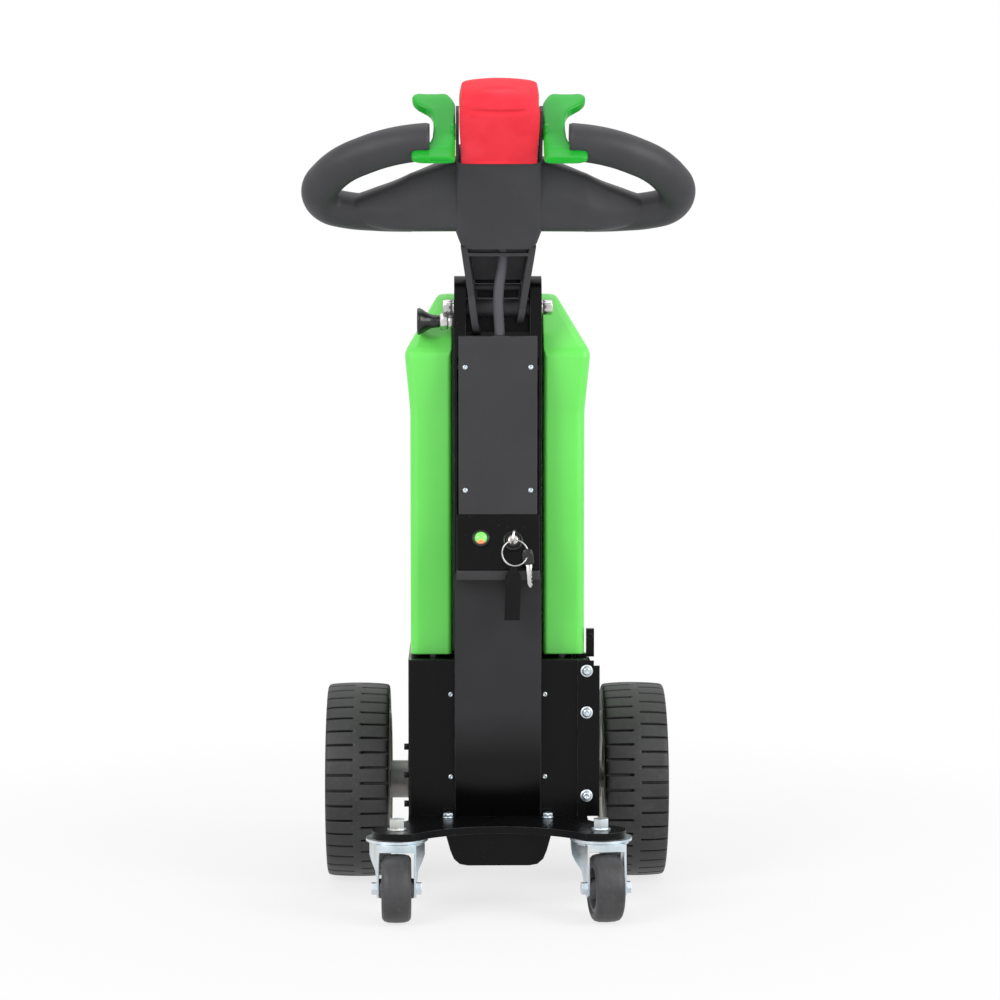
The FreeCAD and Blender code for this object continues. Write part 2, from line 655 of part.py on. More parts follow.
def hitch():
    """Flanged jaw bolted to the far face of the box, open for a drop pin."""
    seat = BOX_Y1 + HITCH_T
    root = BOX_Y1 + JAW_ROOT
    half = JAW_GAP / 2
    flange = box(-HITCH_WIDE, HITCH_WIDE, BOX_Y1, seat, HITCH_Z - HITCH_HALF, HITCH_Z + HITCH_HALF)
    flange = soften(flange, 10.0, lambda e: runs_along(e, Y_AXIS))
    parts = [flange]
    for z in (HITCH_Z - half - JAW_T, HITCH_Z + half):
        tongue = box(-JAW_HALF, JAW_HALF, seat - 1.0, JAW_PIN_Y, z, z + JAW_T)
        nose = rod(V(0, JAW_PIN_Y, z), Z_AXIS, JAW_HALF, JAW_T)
        parts.append(tongue.fuse(nose))
    for x in (-JAW_HALF, JAW_HALF - 6.0):
        low, high = HITCH_Z - half, HITCH_Z + half
        web = [(seat - 1, low - 33), (seat - 1, high + 33), (root + 6, high + JAW_T), (root + 6, low - JAW_T)]
        parts.append(prism_x(web, x, x + 6.0))
    slot = box(-100, 100, root, root + 300, HITCH_Z - half, HITCH_Z + half)
    pin = rod(V(0, JAW_PIN_Y, HITCH_Z - 100), Z_AXIS, JAW_PIN_R, 200)
    bolts = [
        bolt(V(sx * (HITCH_WIDE - 14.0), seat, HITCH_Z + sz * (HITCH_HALF - 14.0)), Y_AXIS, 17.0, 7.5, 11.0)
        for sx in (-1, 1) for sz in (-1, 1)
    ]
    return join(parts).cut([slot, pin]), group(bolts)


# ---------------------------------------------------------------- wheels


def tyre_body():
    """Carcass with bulged shoulders, drawn at the origin with its axle along x."""
    half = DRIVE_W / 2
    r = DRIVE_R
    outline = [
        (-half + 9, RIM_R), (-half + 2, RIM_R + 9), (-half, r - 24), (-half + 1.5, r - 13),
        (-half + 6, r - 5.5), (-half + 14, r - 2), (-half + 26, r - 0.5), (0, r), (half - 26, r - 0.5),
        (half - 14, r - 2), (half - 6, r - 5.5), (half - 1.5, r - 13),
        (half, r - 24), (half - 2, RIM_R + 9), (half - 9, RIM_R),
    ]
    return revolve_x(outline, V(0, 0, 0))


def tread_cutters():
    """One slot per lug in each row; the second row stands half a pitch on."""
    pitch = 360.0 / LUGS
    cutters = []
    for row in (-1, 1):
        for k in range(LUGS):
            near, far = sorted((row * RIB_HALF, row * (DRIVE_W / 2 + 5.0)))
            slot = box(near, far, -SLOT_W / 2, SLOT_W / 2, DRIVE_R - SLOT_DEPTH, DRIVE_R + 5.0)
            slot.rotate(V(0, 0, 0), X_AXIS, pitch * (k + 0.25 * row))
            cutters.append(slot)
    return cutters


def drive_tyre(side):
    body = tyre_body().cut(tread_cutters())
    body.translate(V(side * DRIVE_X, DRIVE_Y, DRIVE_R))
    return body.cut(drive_rim(side))


def drive_rim(side):
    """Rim with its web and hub, turned about the axle; inner side first."""
    bore = AXLE_R + RUN_GAP
    lip = DRIVE_W / 2 - 4.0
    seat = lip - 3.0
    outline = [
        (-seat, RIM_R), (-seat, RIM_R + 4), (-lip, RIM_R + 4), (-lip, RIM_R - 5), (-lip + 7, RIM_R - 9),
        (-lip + 11, RIM_R - 22), (-lip + 11, 40), (-lip + 1, 34), (-lip, 30), (-lip, bore),
        (HUB_OUT, bore), (HUB_OUT, 30), (-16, 36), (-20, 44), (-20, RIM_R - 26), (10, RIM_R - 9),
        (lip - 7, RIM_R - 5), (lip, RIM_R - 5), (lip, RIM_R + 4), (seat, RIM_R + 4), (seat, RIM_R),
    ]
    return revolve_x([(side * x, r) for x, r in outline], V(side * DRIVE_X, DRIVE_Y, DRIVE_R))


def axle_end(side):
    """Washer and nut that keep the wheel on its stub."""
    tip = DRIVE_X + HUB_OUT + SIDE_GAP
    out = V(side, 0, 0)
    washer = tube(V(side * tip, DRIVE_Y, DRIVE_R), out, AXLE_R + 6.5, AXLE_R, 2.5)
    nut = hexagon(V(side * (tip + 2.5), DRIVE_Y, DRIVE_R), out, 30.0, 9.0)
    core = rod(V(side * (tip - 1), DRIVE_Y, DRIVE_R), out, AXLE_R, AXLE_TIP - tip + 1)
    return washer.fuse(nut).cut(core)


# ---------------------------------------------------------------- casters, drawn at the origin


def caster_place(shape, side, turned=True):
    if turned:
        name = "left" if side < 0 else "right"
        shape.rotate(V(0, 0, 0), Z_AXIS, REST_SWIVEL[name])
    shape.translate(V(side * KING_X, KING_Y, 0))
    return shape


def caster_race(side):
    """Fixed upper race with the kingpin and its hexagon head on the plate."""
    race = tube(V(0, 0, PLATE_Z0 - RACE_T), Z_AXIS, RACE_R, KING_R, RACE_T)
    low = CROWN_Z0 - 8.0
    pin = rod(V(0, 0, low), Z_AXIS, KING_R, PLATE_Z1 - low)
    head = bolt(V(0, 0, PLATE_Z1), Z_AXIS, 19.0, 13.0, 13.0)
    nut = hexagon(V(0, 0, low), Z_AXIS, 17.0, 5.0 - SIDE_GAP)
    return caster_place(join([race, pin, head, nut]), side, False)


def caster_fork(side):
    """Pressed fork: crown, rear lip and two legs that close in towards the wheel."""
    top = PLATE_Z0 - RACE_T - SIDE_GAP
    crown = rod(V(0, 0, CROWN_Z0), Z_AXIS, FORK_WIDE, top - CROWN_Z0)
    reach = -TRAIL - 9.0
    outer = FORK_INNER + FORK_T
    deck = box(-outer, outer, reach, 0, CROWN_Z0, top)
    lip = box(-outer, outer, reach, reach + FORK_T, CROWN_Z0 - 6.0, CROWN_Z0)
    boss = rod(V(0, 0, CROWN_Z0 - 3.0), Z_AXIS, 13.0, 3.5)
    z = CASTER_R
    plan = prism_z(
        [(outer, -2 * TRAIL), (outer, -22), (FORK_WIDE, 12), (FORK_WIDE, 26), (FORK_WIDE - FORK_T, 26),
         (FORK_WIDE - FORK_T, 13), (FORK_INNER, -20), (FORK_INNER, -2 * TRAIL)], 0.0, top,
    )
    outline = prism_x(
        [(reach, top), (reach, top - 21), (-TRAIL - 13, z + 3), (-TRAIL - 11, z - 8), (-TRAIL, z - 13),
         (-TRAIL + 11, z - 8), (-14, z + 20), (4, z + 30), (22, top - 13), (24, top)], 0, 60.0,
    )
    leg = plan.common(outline)
    body = join([crown, deck, lip, boss, leg, mirrored(leg)])
    body = body.cut([
        rod(V(0, 0, CROWN_Z0 - 20), Z_AXIS, KING_R + RUN_GAP, 60.0),
        rod(V(-60, -TRAIL, z), X_AXIS, CASTER_BORE_R, 120.0),
    ])
    return caster_place(body, side)


def caster_axle(side):
    z = CASTER_R
    outer = FORK_INNER + FORK_T
    shaft = rod(V(-outer, -TRAIL, z), X_AXIS, CASTER_BORE_R, 2 * outer)
    right = hexagon(V(outer, -TRAIL, z), X_AXIS, 15.0, 7.0)
    left = hexagon(V(-outer, -TRAIL, z), V(-1, 0, 0), 15.0, 7.0)
    return caster_place(join([shaft, right, left]), side)


def caster_tyre(side):
    half = CASTER_W / 2
    r = CASTER_R
    seat = CASTER_R - CASTER_TREAD
    outline = [
        (-half + 2, seat), (-half, seat + 2), (-half, r - 7), (-half + 1, r - 4.5), (-half + 3.5, r - 2),
        (-half + 9, r - 0.5), (0, r), (half - 9, r - 0.5), (half - 3.5, r - 2), (half - 1, r - 4.5),
        (half, r - 7), (half, seat + 2), (half - 2, seat),
    ]
    return caster_place(revolve_x(outline, V(0, -TRAIL, CASTER_R)), side)


def caster_core(side):
    half = CASTER_W / 2
    bore = CASTER_BORE_R + RUN_GAP
    hub = FORK_INNER - SIDE_GAP
    seat = CASTER_R - CASTER_TREAD
    outline = [
        (-half + 2, seat), (-half + 2, seat - 5), (-6, seat - 8), (-6, 16), (-hub, 13), (-hub, bore),
        (hub, bore), (hub, 13), (6, 16), (6, seat - 8), (half - 2, seat - 5), (half - 2, seat),
    ]
    return caster_place(revolve_x(outline, V(0, -TRAIL, CASTER_R)), side)


# ---------------------------------------------------------------- tiller


def lean(shape):
    """From the arm's own frame to where it stands at rest."""
    shape.rotate(V(0, 0, 0), X_AXIS, LEAN)
    shape.translate(V(0, PIVOT_Y, PIVOT_Z))
    return shape


def arm_point(a):
    """Point on the arm's middle line at rest."""
    tilt = math.radians(LEAN)
    return V(0, PIVOT_Y - a * math.sin(tilt), PIVOT_Z + a * math.cos(tilt))


def arm_inner(a):
    """Half width that reaches 1.5 mm into the side plates, at height a along the arm."""
    share = (a - ARM_LOW) / (ARM_TOP - ARM_LOW)
    return ARM_LOW_HALF + (ARM_TOP_HALF - ARM_LOW_HALF) * share - ARM_T + 1.5


def tiller_arm():
    """Two tapering side plates joined by a web, a lip, a bar and the pivot sleeve."""
    low, top = ARM_LOW_HALF, ARM_TOP_HALF
    section = [(low - ARM_T, ARM_LOW), (low, ARM_LOW), (top, ARM_TOP), (top - ARM_T, ARM_TOP)]
    bent = prism_y(section, -SECTOR_R - 20.0, SECTOR_R + 20.0)
    shank = prism_x([(-ARM_B, -4), (ARM_B, -4), (ARM_B, ARM_TOP), (-ARM_B, ARM_TOP)], 0, top)
    right = bent.common(shank.fuse(rod(V(0, 0, 0), X_AXIS, ARM_B + 2, top)))
    left = mirrored(bent.common(shank.fuse(rod(V(0, 0, 0), X_AXIS, SECTOR_R, top))))
    holes = []
    for k in range(5):
        hole = rod(V(-MAST_HALF, 0, 10.0 - SECTOR_R), X_AXIS, 4.0, MAST_HALF)
        hole.rotate(V(0, 0, 0), X_AXIS, -30.0 + 25.0 * (k - 2))
        holes.append(hole)
    reach = MAST_HALF - EAR_T - SIDE_GAP
    sleeve = rod(V(-reach, 0, 0), X_AXIS, SLEEVE_R, 2 * reach)
    bar = rod(V(-arm_inner(24), 14.0, 24.0), X_AXIS, 5.0, 2 * arm_inner(24))
    wide, narrow = arm_inner(ARM_TOP), arm_inner(33)
    web = prism_y([(-narrow, 33), (narrow, 33), (wide, ARM_TOP), (-wide, ARM_TOP)], ARM_B - 4.0, ARM_B)
    edge = ARM_TOP - 14.0
    lip = box(-arm_inner(edge), arm_inner(edge), -ARM_B, -ARM_B + 4.0, edge, edge + 5.0)
    body = join([right, left, sleeve, bar, web, lip])
    body = body.cut([rod(V(-2 * MAST_HALF, 0, 0), X_AXIS, PIVOT_R + RUN_GAP, 4 * MAST_HALF)] + holes)
    return lean(body)


def tiller_head():
    """Casing between the arm and the belly pad, with a thin cheek on each side of the pad."""
    half = [
        (ARM_TOP_HALF - 7, ARM_TOP), (ARM_TOP_HALF + 1, ARM_TOP + 7), (HEAD_HALF, ARM_TOP + 24),
        (HEAD_HALF, HEAD_TOP - 31), (PAD_HALF + 2, HEAD_TOP),
    ]
    outline = [(-x, z) for x, z in half] + [(x, z) for x, z in reversed(half)]
    body = prism_y(outline, -HEAD_B, HEAD_B)
    body = soften(
        body, 6.0,
        lambda e: abs(abs(e.BoundBox.Center.y) - HEAD_B) < 0.01 and e.BoundBox.ZLength > 3,
    )
    cheek = prism_x(
        [(-20, -4), (-16, 56), (-8, 66), (8, 66), (20, 44), (24, -4)], PAD_HALF + SIDE_GAP, HEAD_HALF,
    )
    cheek.translate(V(0, 0, HEAD_TOP))
    body = join([body, cheek, mirrored(cheek)])
    channel = rod(V(0, 0, ARM_TOP - 46), Z_AXIS, CABLE_R + CABLE_GAP, 60.0)
    return lean(body.cut(channel))


def belly_pad():
    """Soft cap of the safety switch over the end of the head, its end arched."""
    b = HEAD_B
    side = prism_x(
        [(-b - 1, HEAD_TOP), (-b - 3, HEAD_TOP + 45), (-b - 2, PAD_TOP - 2 * PAD_EDGE),
         (-b + 3, PAD_TOP - PAD_EDGE), (b - 6, PAD_TOP + PAD_CROWN), (b, PAD_TOP - 2), (b, HEAD_TOP)],
        -PAD_HALF, PAD_HALF,
    )
    arch = rod(V(0, -100, PAD_TOP + PAD_CROWN - PAD_ARCH_R), Y_AXIS, PAD_ARCH_R, 200.0)
    side = side.common(arch)
    side = soften(
        side, 5.0,
        lambda e: abs(abs(e.BoundBox.Center.x) - PAD_HALF) < 0.01 and e.BoundBox.ZMin > HEAD_TOP - 1
        and e.BoundBox.ZMax > HEAD_TOP + 1,
    )
    return lean(side)


def rounded_path(points, radii):
    """Straight runs joined by tangent arcs, as one wire; also its first point and direction."""
    edges = []
    start = points[0]
    for k in range(1, len(points) - 1):
        corner = points[k]
        back = (points[k - 1] - corner).normalize()
        ahead = (points[k + 1] - corner).normalize()
        half = back.getAngle(ahead) / 2.0
        reach = radii[k - 1] / math.tan(half)
        middle = (back + ahead).normalize()
        depth = radii[k - 1] / math.sin(half) - radii[k - 1]
        first = corner + back * reach
        last = corner + ahead * reach
        edges.append(Part.makeLine(start, first))
        edges.append(Part.Arc(first, corner + middle * depth, last).toShape())
        start = last
    edges.append(Part.makeLine(start, points[-1]))
    return Part.Wire(edges), points[0], (points[1] - points[0]).normalize()


def bent_rod(points, radii, radius):
    spine, start, way = rounded_path(points, radii)
    ring = Part.Wire([Part.makeCircle(radius, start, way)])
    return spine.makePipeShell([ring], True, False)


def loop_origin():
    return arm_point(LOOP_UP) + V(0, LOOP_BACK, 0)


def loop_point(x, s):
    """Point of the hand loop's plane, s measured up its slope."""
    slope = math.radians(LOOP_SLOPE)
    return V(x, -s * math.cos(slope), s * math.sin(slope)) + loop_origin()


def wing_section(x, yz):
    """Six-cornered section of the loop's root, x beyond the side of the head."""
    o = loop_origin() + V(HEAD_HALF + x, 0, 0)
    ring = [o + V(0, y, z) for y, z in yz]
    return Part.makePolygon(ring + ring[:1])


def hand_loop():
    """Right hand loop: faceted root on the head, then a bent tube with a cut end."""
    spots = [loop_point(HEAD_HALF + x, s) for x, s in LOOP_CORNERS]
    bar = bent_rod(spots, LOOP_BENDS, LOOP_TUBE_R)
    bar = bar.cut(box(0, HEAD_HALF + LOOP_END, -400, 0, PIVOT_Z, PIVOT_Z + 500))
    a = wing_section(-9.5, [(-52, 56), (-49, 8), (-24, -40), (2, -40), (18, -16), (-16, 64)])
    b = wing_section(83.5, [(-29, 28), (-29, -18), (-13, -40), (13, -40), (29, -20), (7, 32)])
    c = wing_section(83.5, [(-21, 20), (-21, -22), (-9, -38), (17, -38), (29, -22), (11, 29)])
    d = wing_section(148.5, [(-3, 3), (-11, -13), (1, -28), (18, -28), (31, -14), (20, 11)])
    root = Part.makeLoft([a, b], True, True).fuse(Part.makeLoft([c, d], True, True))
    return bar, root


def grip(side):
    bar, root = hand_loop()
    body = bar.fuse(root)
    head = lean(box(-HEAD_HALF, HEAD_HALF, -HEAD_B - 1, HEAD_B + 1, ARM_TOP - 46, HEAD_TOP + 5))
    body = body.cut(head)
    body = body.removeSplitter()
    if side < 0:
        body = mirrored(body)
    return body


def thumb_lever(side):
    """Butterfly lever beside the head: a stem across it between an upper horn and a lower tab."""
    face_on = [
        (0, -66), (42, -66), (53, -65), (57, -62), (55, -58), (42, -57), (33, -53), (30, -42), (29, -8),
        (30, 17), (35, 31), (48, 39), (55, 45), (57, 53), (51, 59), (24, 60), (12, 52), (0, 40),
    ]
    edge_on = [
        (-66, 17), (-54, 18), (-10, 30), (34, 41), (60, 49), (60, 62), (34, 56), (-10, 45), (-54, 30),
        (-66, 28),
    ]
    near = HEAD_HALF + 0.5
    plate = prism_z(face_on, 0.0, 80.0).common(prism_x(edge_on, 0.0, 100.0))
    plate.translate(V(near, 0, HEAD_TOP))
    hub = rod(V(near - 0.5, -10.0, HEAD_TOP + 37.0), X_AXIS, 11.0, 8.0)
    body = lean(plate.fuse(hub))
    if side < 0:
        body = mirrored(body)
    return body


def control_cable():
    """Cable from the mast into the neck of the tiller, round the pivot."""
    spots = [
        V(0, CABLE_Y, SHELF_Z + 6), V(0, CABLE_Y - 6, PIVOT_Z - 38), V(-6, CABLE_Y - 14, PIVOT_Z + 2),
        arm_point(ARM_TOP - 35), arm_point(ARM_TOP + 6),
    ]
    return bent_rod(spots, CABLE_BENDS, CABLE_R)


# ---------------------------------------------------------------- write the nodes


def build_chassis():
    save("base_plate", base_plate())
    save("apron", apron())
    save("chassis_box", chassis_box())
    angle, angle_bolts = side_bracket()
    save("side_bracket", angle)
    save("bracket_bolts", angle_bolts)
    save("cover_latch", cover_latch())
    save("gearmotor_left", gearmotor("left"))
    save("gearmotor_right", gearmotor("right"))
    save("motor_bolts", motor_bolts())
    save("battery_block", battery_block())
    save("battery_cover", battery_cover())
    save("cover_feet", cover_feet())
    body, bolts = hitch()
    save("hitch_jaw", body)
    save("hitch_bolts", bolts)
    save("axle_ends", group([axle_end(-1), axle_end(1)]))
    save("caster_races", group([caster_race(-1), caster_race(1)]))


def build_mast():
    save("mast", mast())
    top, top_screws = upper_cover()
    save("lower_cover", lower_cover())
    save("upper_cover", top)
    save("cover_screws", group(mast_screws().Solids + top_screws.Solids))
    save("switch_housing", switch_housing())
    bezel, lens = status_lamp()
    save("lamp_bezel", bezel)
    save("lamp_lens", lens)
    save("key_switch", key_switch())
    fitted, ring, spare, strap = keys()
    save("keys", group([fitted, ring, spare]))
    save("key_strap", strap)
    save("pivot_bolt", pivot_bolt())
    body, knob = index_plunger()
    save("plunger_body", body)
    save("plunger_knob", knob)
    save("control_cable", control_cable())


def build_wheels():
    for name, side in (("left", -1), ("right", 1)):
        save("drive_tyre_" + name, drive_tyre(side))
        save("drive_rim_" + name, drive_rim(side))
        save("caster_fork_" + name, caster_fork(side))
        save("caster_axle_" + name, caster_axle(side))
        save("caster_tyre_" + name, caster_tyre(side))
        save("caster_core_" + name, caster_core(side))


def build_tiller():
    save("tiller_arm", tiller_arm())
    save("tiller_head", tiller_head())
    save("belly_pad", belly_pad())
    for name, side in (("left", -1), ("right", 1)):
        save("grip_" + name, grip(side))
        save("thumb_lever_" + name, thumb_lever(side))


os.makedirs("parts", exist_ok=True)
build_chassis()
build_mast()
build_wheels()
build_tiller()
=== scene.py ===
# %% [markdown]
# # Electric tow tug
#
# A pedestrian tow tug is a small battery tractor that an operator walks behind. A black steel base
# carries two driven wheels and two casters, a green cover stands over the battery, and a mast in
# front of it holds the switches and the folding tiller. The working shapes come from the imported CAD
# model, which is loaded as a fixed frame. The rest is finish: materials, lamps, and pieces whose
# form is easier to compute than to draw.

# %% Load the frame
import json
import math

import bpy
import numpy as np
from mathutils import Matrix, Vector


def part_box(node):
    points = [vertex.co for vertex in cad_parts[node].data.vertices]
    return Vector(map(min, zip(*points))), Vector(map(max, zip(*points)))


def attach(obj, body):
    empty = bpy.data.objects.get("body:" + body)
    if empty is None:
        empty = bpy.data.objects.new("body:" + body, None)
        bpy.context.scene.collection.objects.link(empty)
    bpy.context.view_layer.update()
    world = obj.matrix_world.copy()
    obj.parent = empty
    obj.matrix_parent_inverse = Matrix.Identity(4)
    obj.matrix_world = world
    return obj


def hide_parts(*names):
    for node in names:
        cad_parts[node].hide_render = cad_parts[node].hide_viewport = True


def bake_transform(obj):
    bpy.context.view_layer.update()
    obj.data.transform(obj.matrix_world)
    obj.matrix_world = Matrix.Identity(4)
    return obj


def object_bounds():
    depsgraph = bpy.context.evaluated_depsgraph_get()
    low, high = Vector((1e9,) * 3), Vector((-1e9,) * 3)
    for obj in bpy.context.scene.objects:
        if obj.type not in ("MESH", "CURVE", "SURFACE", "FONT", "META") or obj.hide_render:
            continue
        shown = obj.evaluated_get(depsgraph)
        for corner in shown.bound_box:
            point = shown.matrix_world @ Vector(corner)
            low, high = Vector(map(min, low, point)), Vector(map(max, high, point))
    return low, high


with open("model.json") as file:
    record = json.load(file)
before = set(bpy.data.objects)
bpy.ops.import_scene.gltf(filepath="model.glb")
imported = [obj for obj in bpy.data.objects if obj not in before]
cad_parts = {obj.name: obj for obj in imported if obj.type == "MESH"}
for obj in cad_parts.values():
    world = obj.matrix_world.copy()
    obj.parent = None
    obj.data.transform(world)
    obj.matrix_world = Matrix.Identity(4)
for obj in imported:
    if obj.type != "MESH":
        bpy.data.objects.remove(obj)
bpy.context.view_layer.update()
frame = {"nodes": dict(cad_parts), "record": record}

MM = 0.001
SIDES = (("left", -1.0), ("right", 1.0))

# %% [markdown]
# ## Camera
#
# The operator looks at the tug nearly level, from about four metres, slightly to its left. A long
# lens at that distance keeps upright edges upright. The camera could be aimed with a tracking
# constraint, but two plain angles are easier to read and to change.

# %% Camera
CAMERA_PLACE = (-0.0604, -4.0759, 0.8258)
CAMERA_PITCH = 3.838
CAMERA_YAW = 0.913
CAMERA_LENS = 104.18


def linked(name, data):
    """Object of that data at the origin, linked to the scene."""
    made = bpy.data.objects.new(name, data)
    bpy.context.scene.collection.objects.link(made)
    return made


def add_camera():
    """A long lens that looks along +Y, tipped down by the pitch and right by the yaw."""
    data = bpy.data.cameras.new("camera")
    data.lens = CAMERA_LENS
    data.sensor_width = 36.0
    data.clip_end = 60.0
    eye = linked("camera", data)
    eye.location = CAMERA_PLACE
    eye.rotation_euler = (math.radians(90.0 - CAMERA_PITCH), 0.0, math.radians(-CAMERA_YAW))
    bpy.context.scene.camera = eye
    return eye


print("camera at", tuple(add_camera().location), "lens", CAMERA_LENS)

# %% [markdown]
# ## Shader maths as sums
#
# A procedural material is mostly arithmetic on patterns, and a long chain of Math nodes is hard to
# read. `Wire` wraps one socket so that `1 - mask * 0.5` adds those nodes by itself. `Finish` owns
# one material and has a single method, `node`, that makes any other node.


# %% A socket that does sums
class Wire:
    """One output socket; + - * / between wires and numbers add Math nodes."""

    def __init__(self, finish, socket):
        self.finish = finish
        self.socket = socket

    def math(self, operation, *others):
        """Math node of that operation on this wire and the others, in order."""
        return self.finish.sum_of(operation, self, *others)

    def __add__(self, other):
        return self.math("ADD", other)

    def __sub__(self, other):
        return self.math("SUBTRACT", other)

    def __rsub__(self, other):
        return self.finish.sum_of("SUBTRACT", other, self)

    def __mul__(self, other):
        return self.math("MULTIPLY", other)

    def __truediv__(self, other):
        return self.math("DIVIDE", other)

    __radd__ = __add__
    __rmul__ = __mul__

    def clamped(self):
        """This wire held between 0 and 1."""
        return self.finish.sum_of("ADD", self, 0.0, use_clamp=True)

    def between(self, low, high):
        """0 where the wire is at low, 1 where it is at high, straight in between."""
        return self.finish.sum_of("DIVIDE", self - low, high - low, use_clamp=True)


FINISHES = {}


class Finish:
    """One material or world in the making, around its main shader."""

    def __init__(self, name, made=None, shader="Principled BSDF"):
        self.made = made or bpy.data.materials.new(name)
        self.made.use_nodes = True
        self.tree = self.made.node_tree
        self.shader = self.tree.nodes[shader]
        self.place = self.node("TexCoord", "Object")
        FINISHES[name] = self.made

    def node(self, kind, output, inputs=None, **settings):
        """Wire from that output of a new node; its inputs are fed by name or by number."""
        made = self.tree.nodes.new("ShaderNode" + kind)
        for key, value in settings.items():
            setattr(made, key, value)
        for key, value in (inputs or {}).items():
            self.feed(made.inputs[key], value)
        return Wire(self, made.outputs[output])

    def feed(self, socket, value):
        """Links a wire to the socket, or sets its constant; a colour is given as 0-255."""
        if isinstance(value, Wire):
            self.tree.links.new(value.socket, socket)
        elif socket.type == "RGBA":
            socket.default_value = (*tint(*value), 1.0)
        else:
            socket.default_value = value

    def sum_of(self, operation, *values, use_clamp=False):
        inputs = dict(enumerate(values))
        return self.node("Math", 0, inputs, operation=operation, use_clamp=use_clamp)

    def along(self, axis):
        """Object coordinate along that axis, in metres."""
        return self.node("SeparateXYZ", axis, {"Vector": self.place})

    def noise(self, scale, detail=3.0, stretch=(1.0, 1.0, 1.0), roughness=0.5):
        """Noise, about 0.5 in the middle; scale is bumps per metre, stretch squeezes it by axis."""
        place = self.node("Mapping", 0, {"Vector": self.place, "Scale": stretch})
        inputs = {"Vector": place, "Scale": scale, "Detail": detail, "Roughness": roughness}
        return self.node("TexNoise", 0, inputs)

    def cells(self, scale):
        """Distance to the nearest of many scattered points."""
        return self.node("TexVoronoi", 0, {"Vector": self.place, "Scale": scale})

    def layers(self, colour, *coats):
        """The colour under coats; each is the share it takes, then the colour it brings."""
        for share, over in zip(coats[::2], coats[1::2]):
            inputs = {0: share, 6: colour, 7: over}
            colour = self.node("Mix", 2, inputs, data_type="RGBA", clamp_factor=True)
        return colour

    def rounded(self, radius):
        """Normal that rounds hard corners off by radius metres."""
        return self.node("Bevel", 0, {"Radius": radius}, samples=6)

    def edges(self, radius):
        """1 on outer and inner corners within radius metres, 0 on flat ground."""
        inputs = {0: self.rounded(radius), 1: self.node("NewGeometry", "Normal")}
        dot = self.node("VectorMath", "Value", inputs, operation="DOT_PRODUCT")
        return (1.0 - dot).between(0.02, 0.20)

    def bump(self, height, strength, depth, corner=None):
        """Bump node; depth in metres is how far a height of 1 stands out, corner rounds edges."""
        inputs = {"Height": height, "Strength": strength, "Distance": depth}
        if corner:
            inputs["Normal"] = self.rounded(corner)
        return self.node("Bump", 0, inputs)

    def set(self, **sockets):
        """Feeds the main shader's sockets by name, with _ for a space."""
        for key, value in sockets.items():
            self.feed(self.shader.inputs[key.replace("_", " ")], value)
        return self.made

    def paint(self, colour, roughness, normal, **sockets):
        """set, with the three inputs that every finish has; the roughness is held to 0-1."""
        return self.set(Base_Color=colour, Roughness=roughness.clamped(), Normal=normal, **sockets)


def tint(*screen):
    """Screen colour 0-255 to the linear values that shaders take."""
    v = np.array(screen) / 255.0
    return np.where(v <= 0.04045, v / 12.92, ((v + 0.055) / 1.055) ** 2.4).tolist()


print("black powder coat, linear:", [round(v, 4) for v in tint(30, 30, 33)])

# %% [markdown]
# ## Black powder coat
#
# The base, box, mast and jaw are folded sheet with a gloss black powder coat. It flows into a fine
# orange peel, thins on corners, and gathers pale dust and rubbed patches. Noises give the peel and
# the rubbing, and the Bevel node finds the corners and softens them. The mast's cover plates have
# the same coat in a paler satin.

# %% Black powder coat
BARE = (96, 96, 100)


def powder_coat(name, base, rubbed, gloss, peel, shine):
    """Base colour, rubbed where worn; gloss is the roughness, peel the bump, shine the mirror."""
    f = Finish(name)
    smear = f.noise(9.0, 5.0).between(0.42, 0.72)
    speck = f.noise(420.0, 2.0).between(0.72, 0.80)
    edge = f.edges(0.0016)
    worn = edge * f.noise(60.0, 4.0).between(0.30, 0.60)
    colour = f.layers(base, smear * 0.30, rubbed, worn * 0.60, BARE, speck * 0.22, (150, 148, 142))
    roughness = gloss + smear * 0.12 + edge * 0.08 + speck * 0.2
    normal = f.bump(f.noise(650.0, 2.0), peel, 0.0004, 0.0012)
    return f.paint(colour, roughness, normal, Specular_IOR_Level=shine)


powder_coat("frame_black", (5, 5, 6), (16, 16, 18), 0.22, 0.16, 0.15)
powder_coat("mast_grey", (50, 50, 52), (62, 62, 64), 0.34, 0.26, 0.35)


def lower_cover_with_painted_reflection():
    """Satin grey coat that runs out to a glossier painted near black where the lower cover bends back
    at its foot: a painted reflection of the black base plate.
    """
    f = Finish("lower_cover_painted_reflection_coat")
    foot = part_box("lower_cover")[0][2]
    high = f.along("Z") + (f.noise(7.0, 2.0) - 0.5) * 0.010
    share = high.between(foot + 0.080, foot + 0.150)
    smear = f.noise(9.0, 5.0).between(0.42, 0.72)
    # Painted reflection of the black base plate: near black (3, 3, 4) at the foot, satin grey above
    # it.
    colour = f.layers((3, 3, 4), share, (44, 44, 46), smear * 0.25 * share, (58, 58, 61))
    colour = f.layers(colour, f.edges(0.0016) * 0.4, BARE)
    normal = f.bump(f.noise(650.0, 2.0), 0.22, 0.0004, 0.0012)
    return f.paint(colour, 0.22 + share * 0.14, normal, Specular_IOR_Level=0.22)


lower_cover_with_painted_reflection()
print("made", list(FINISHES))
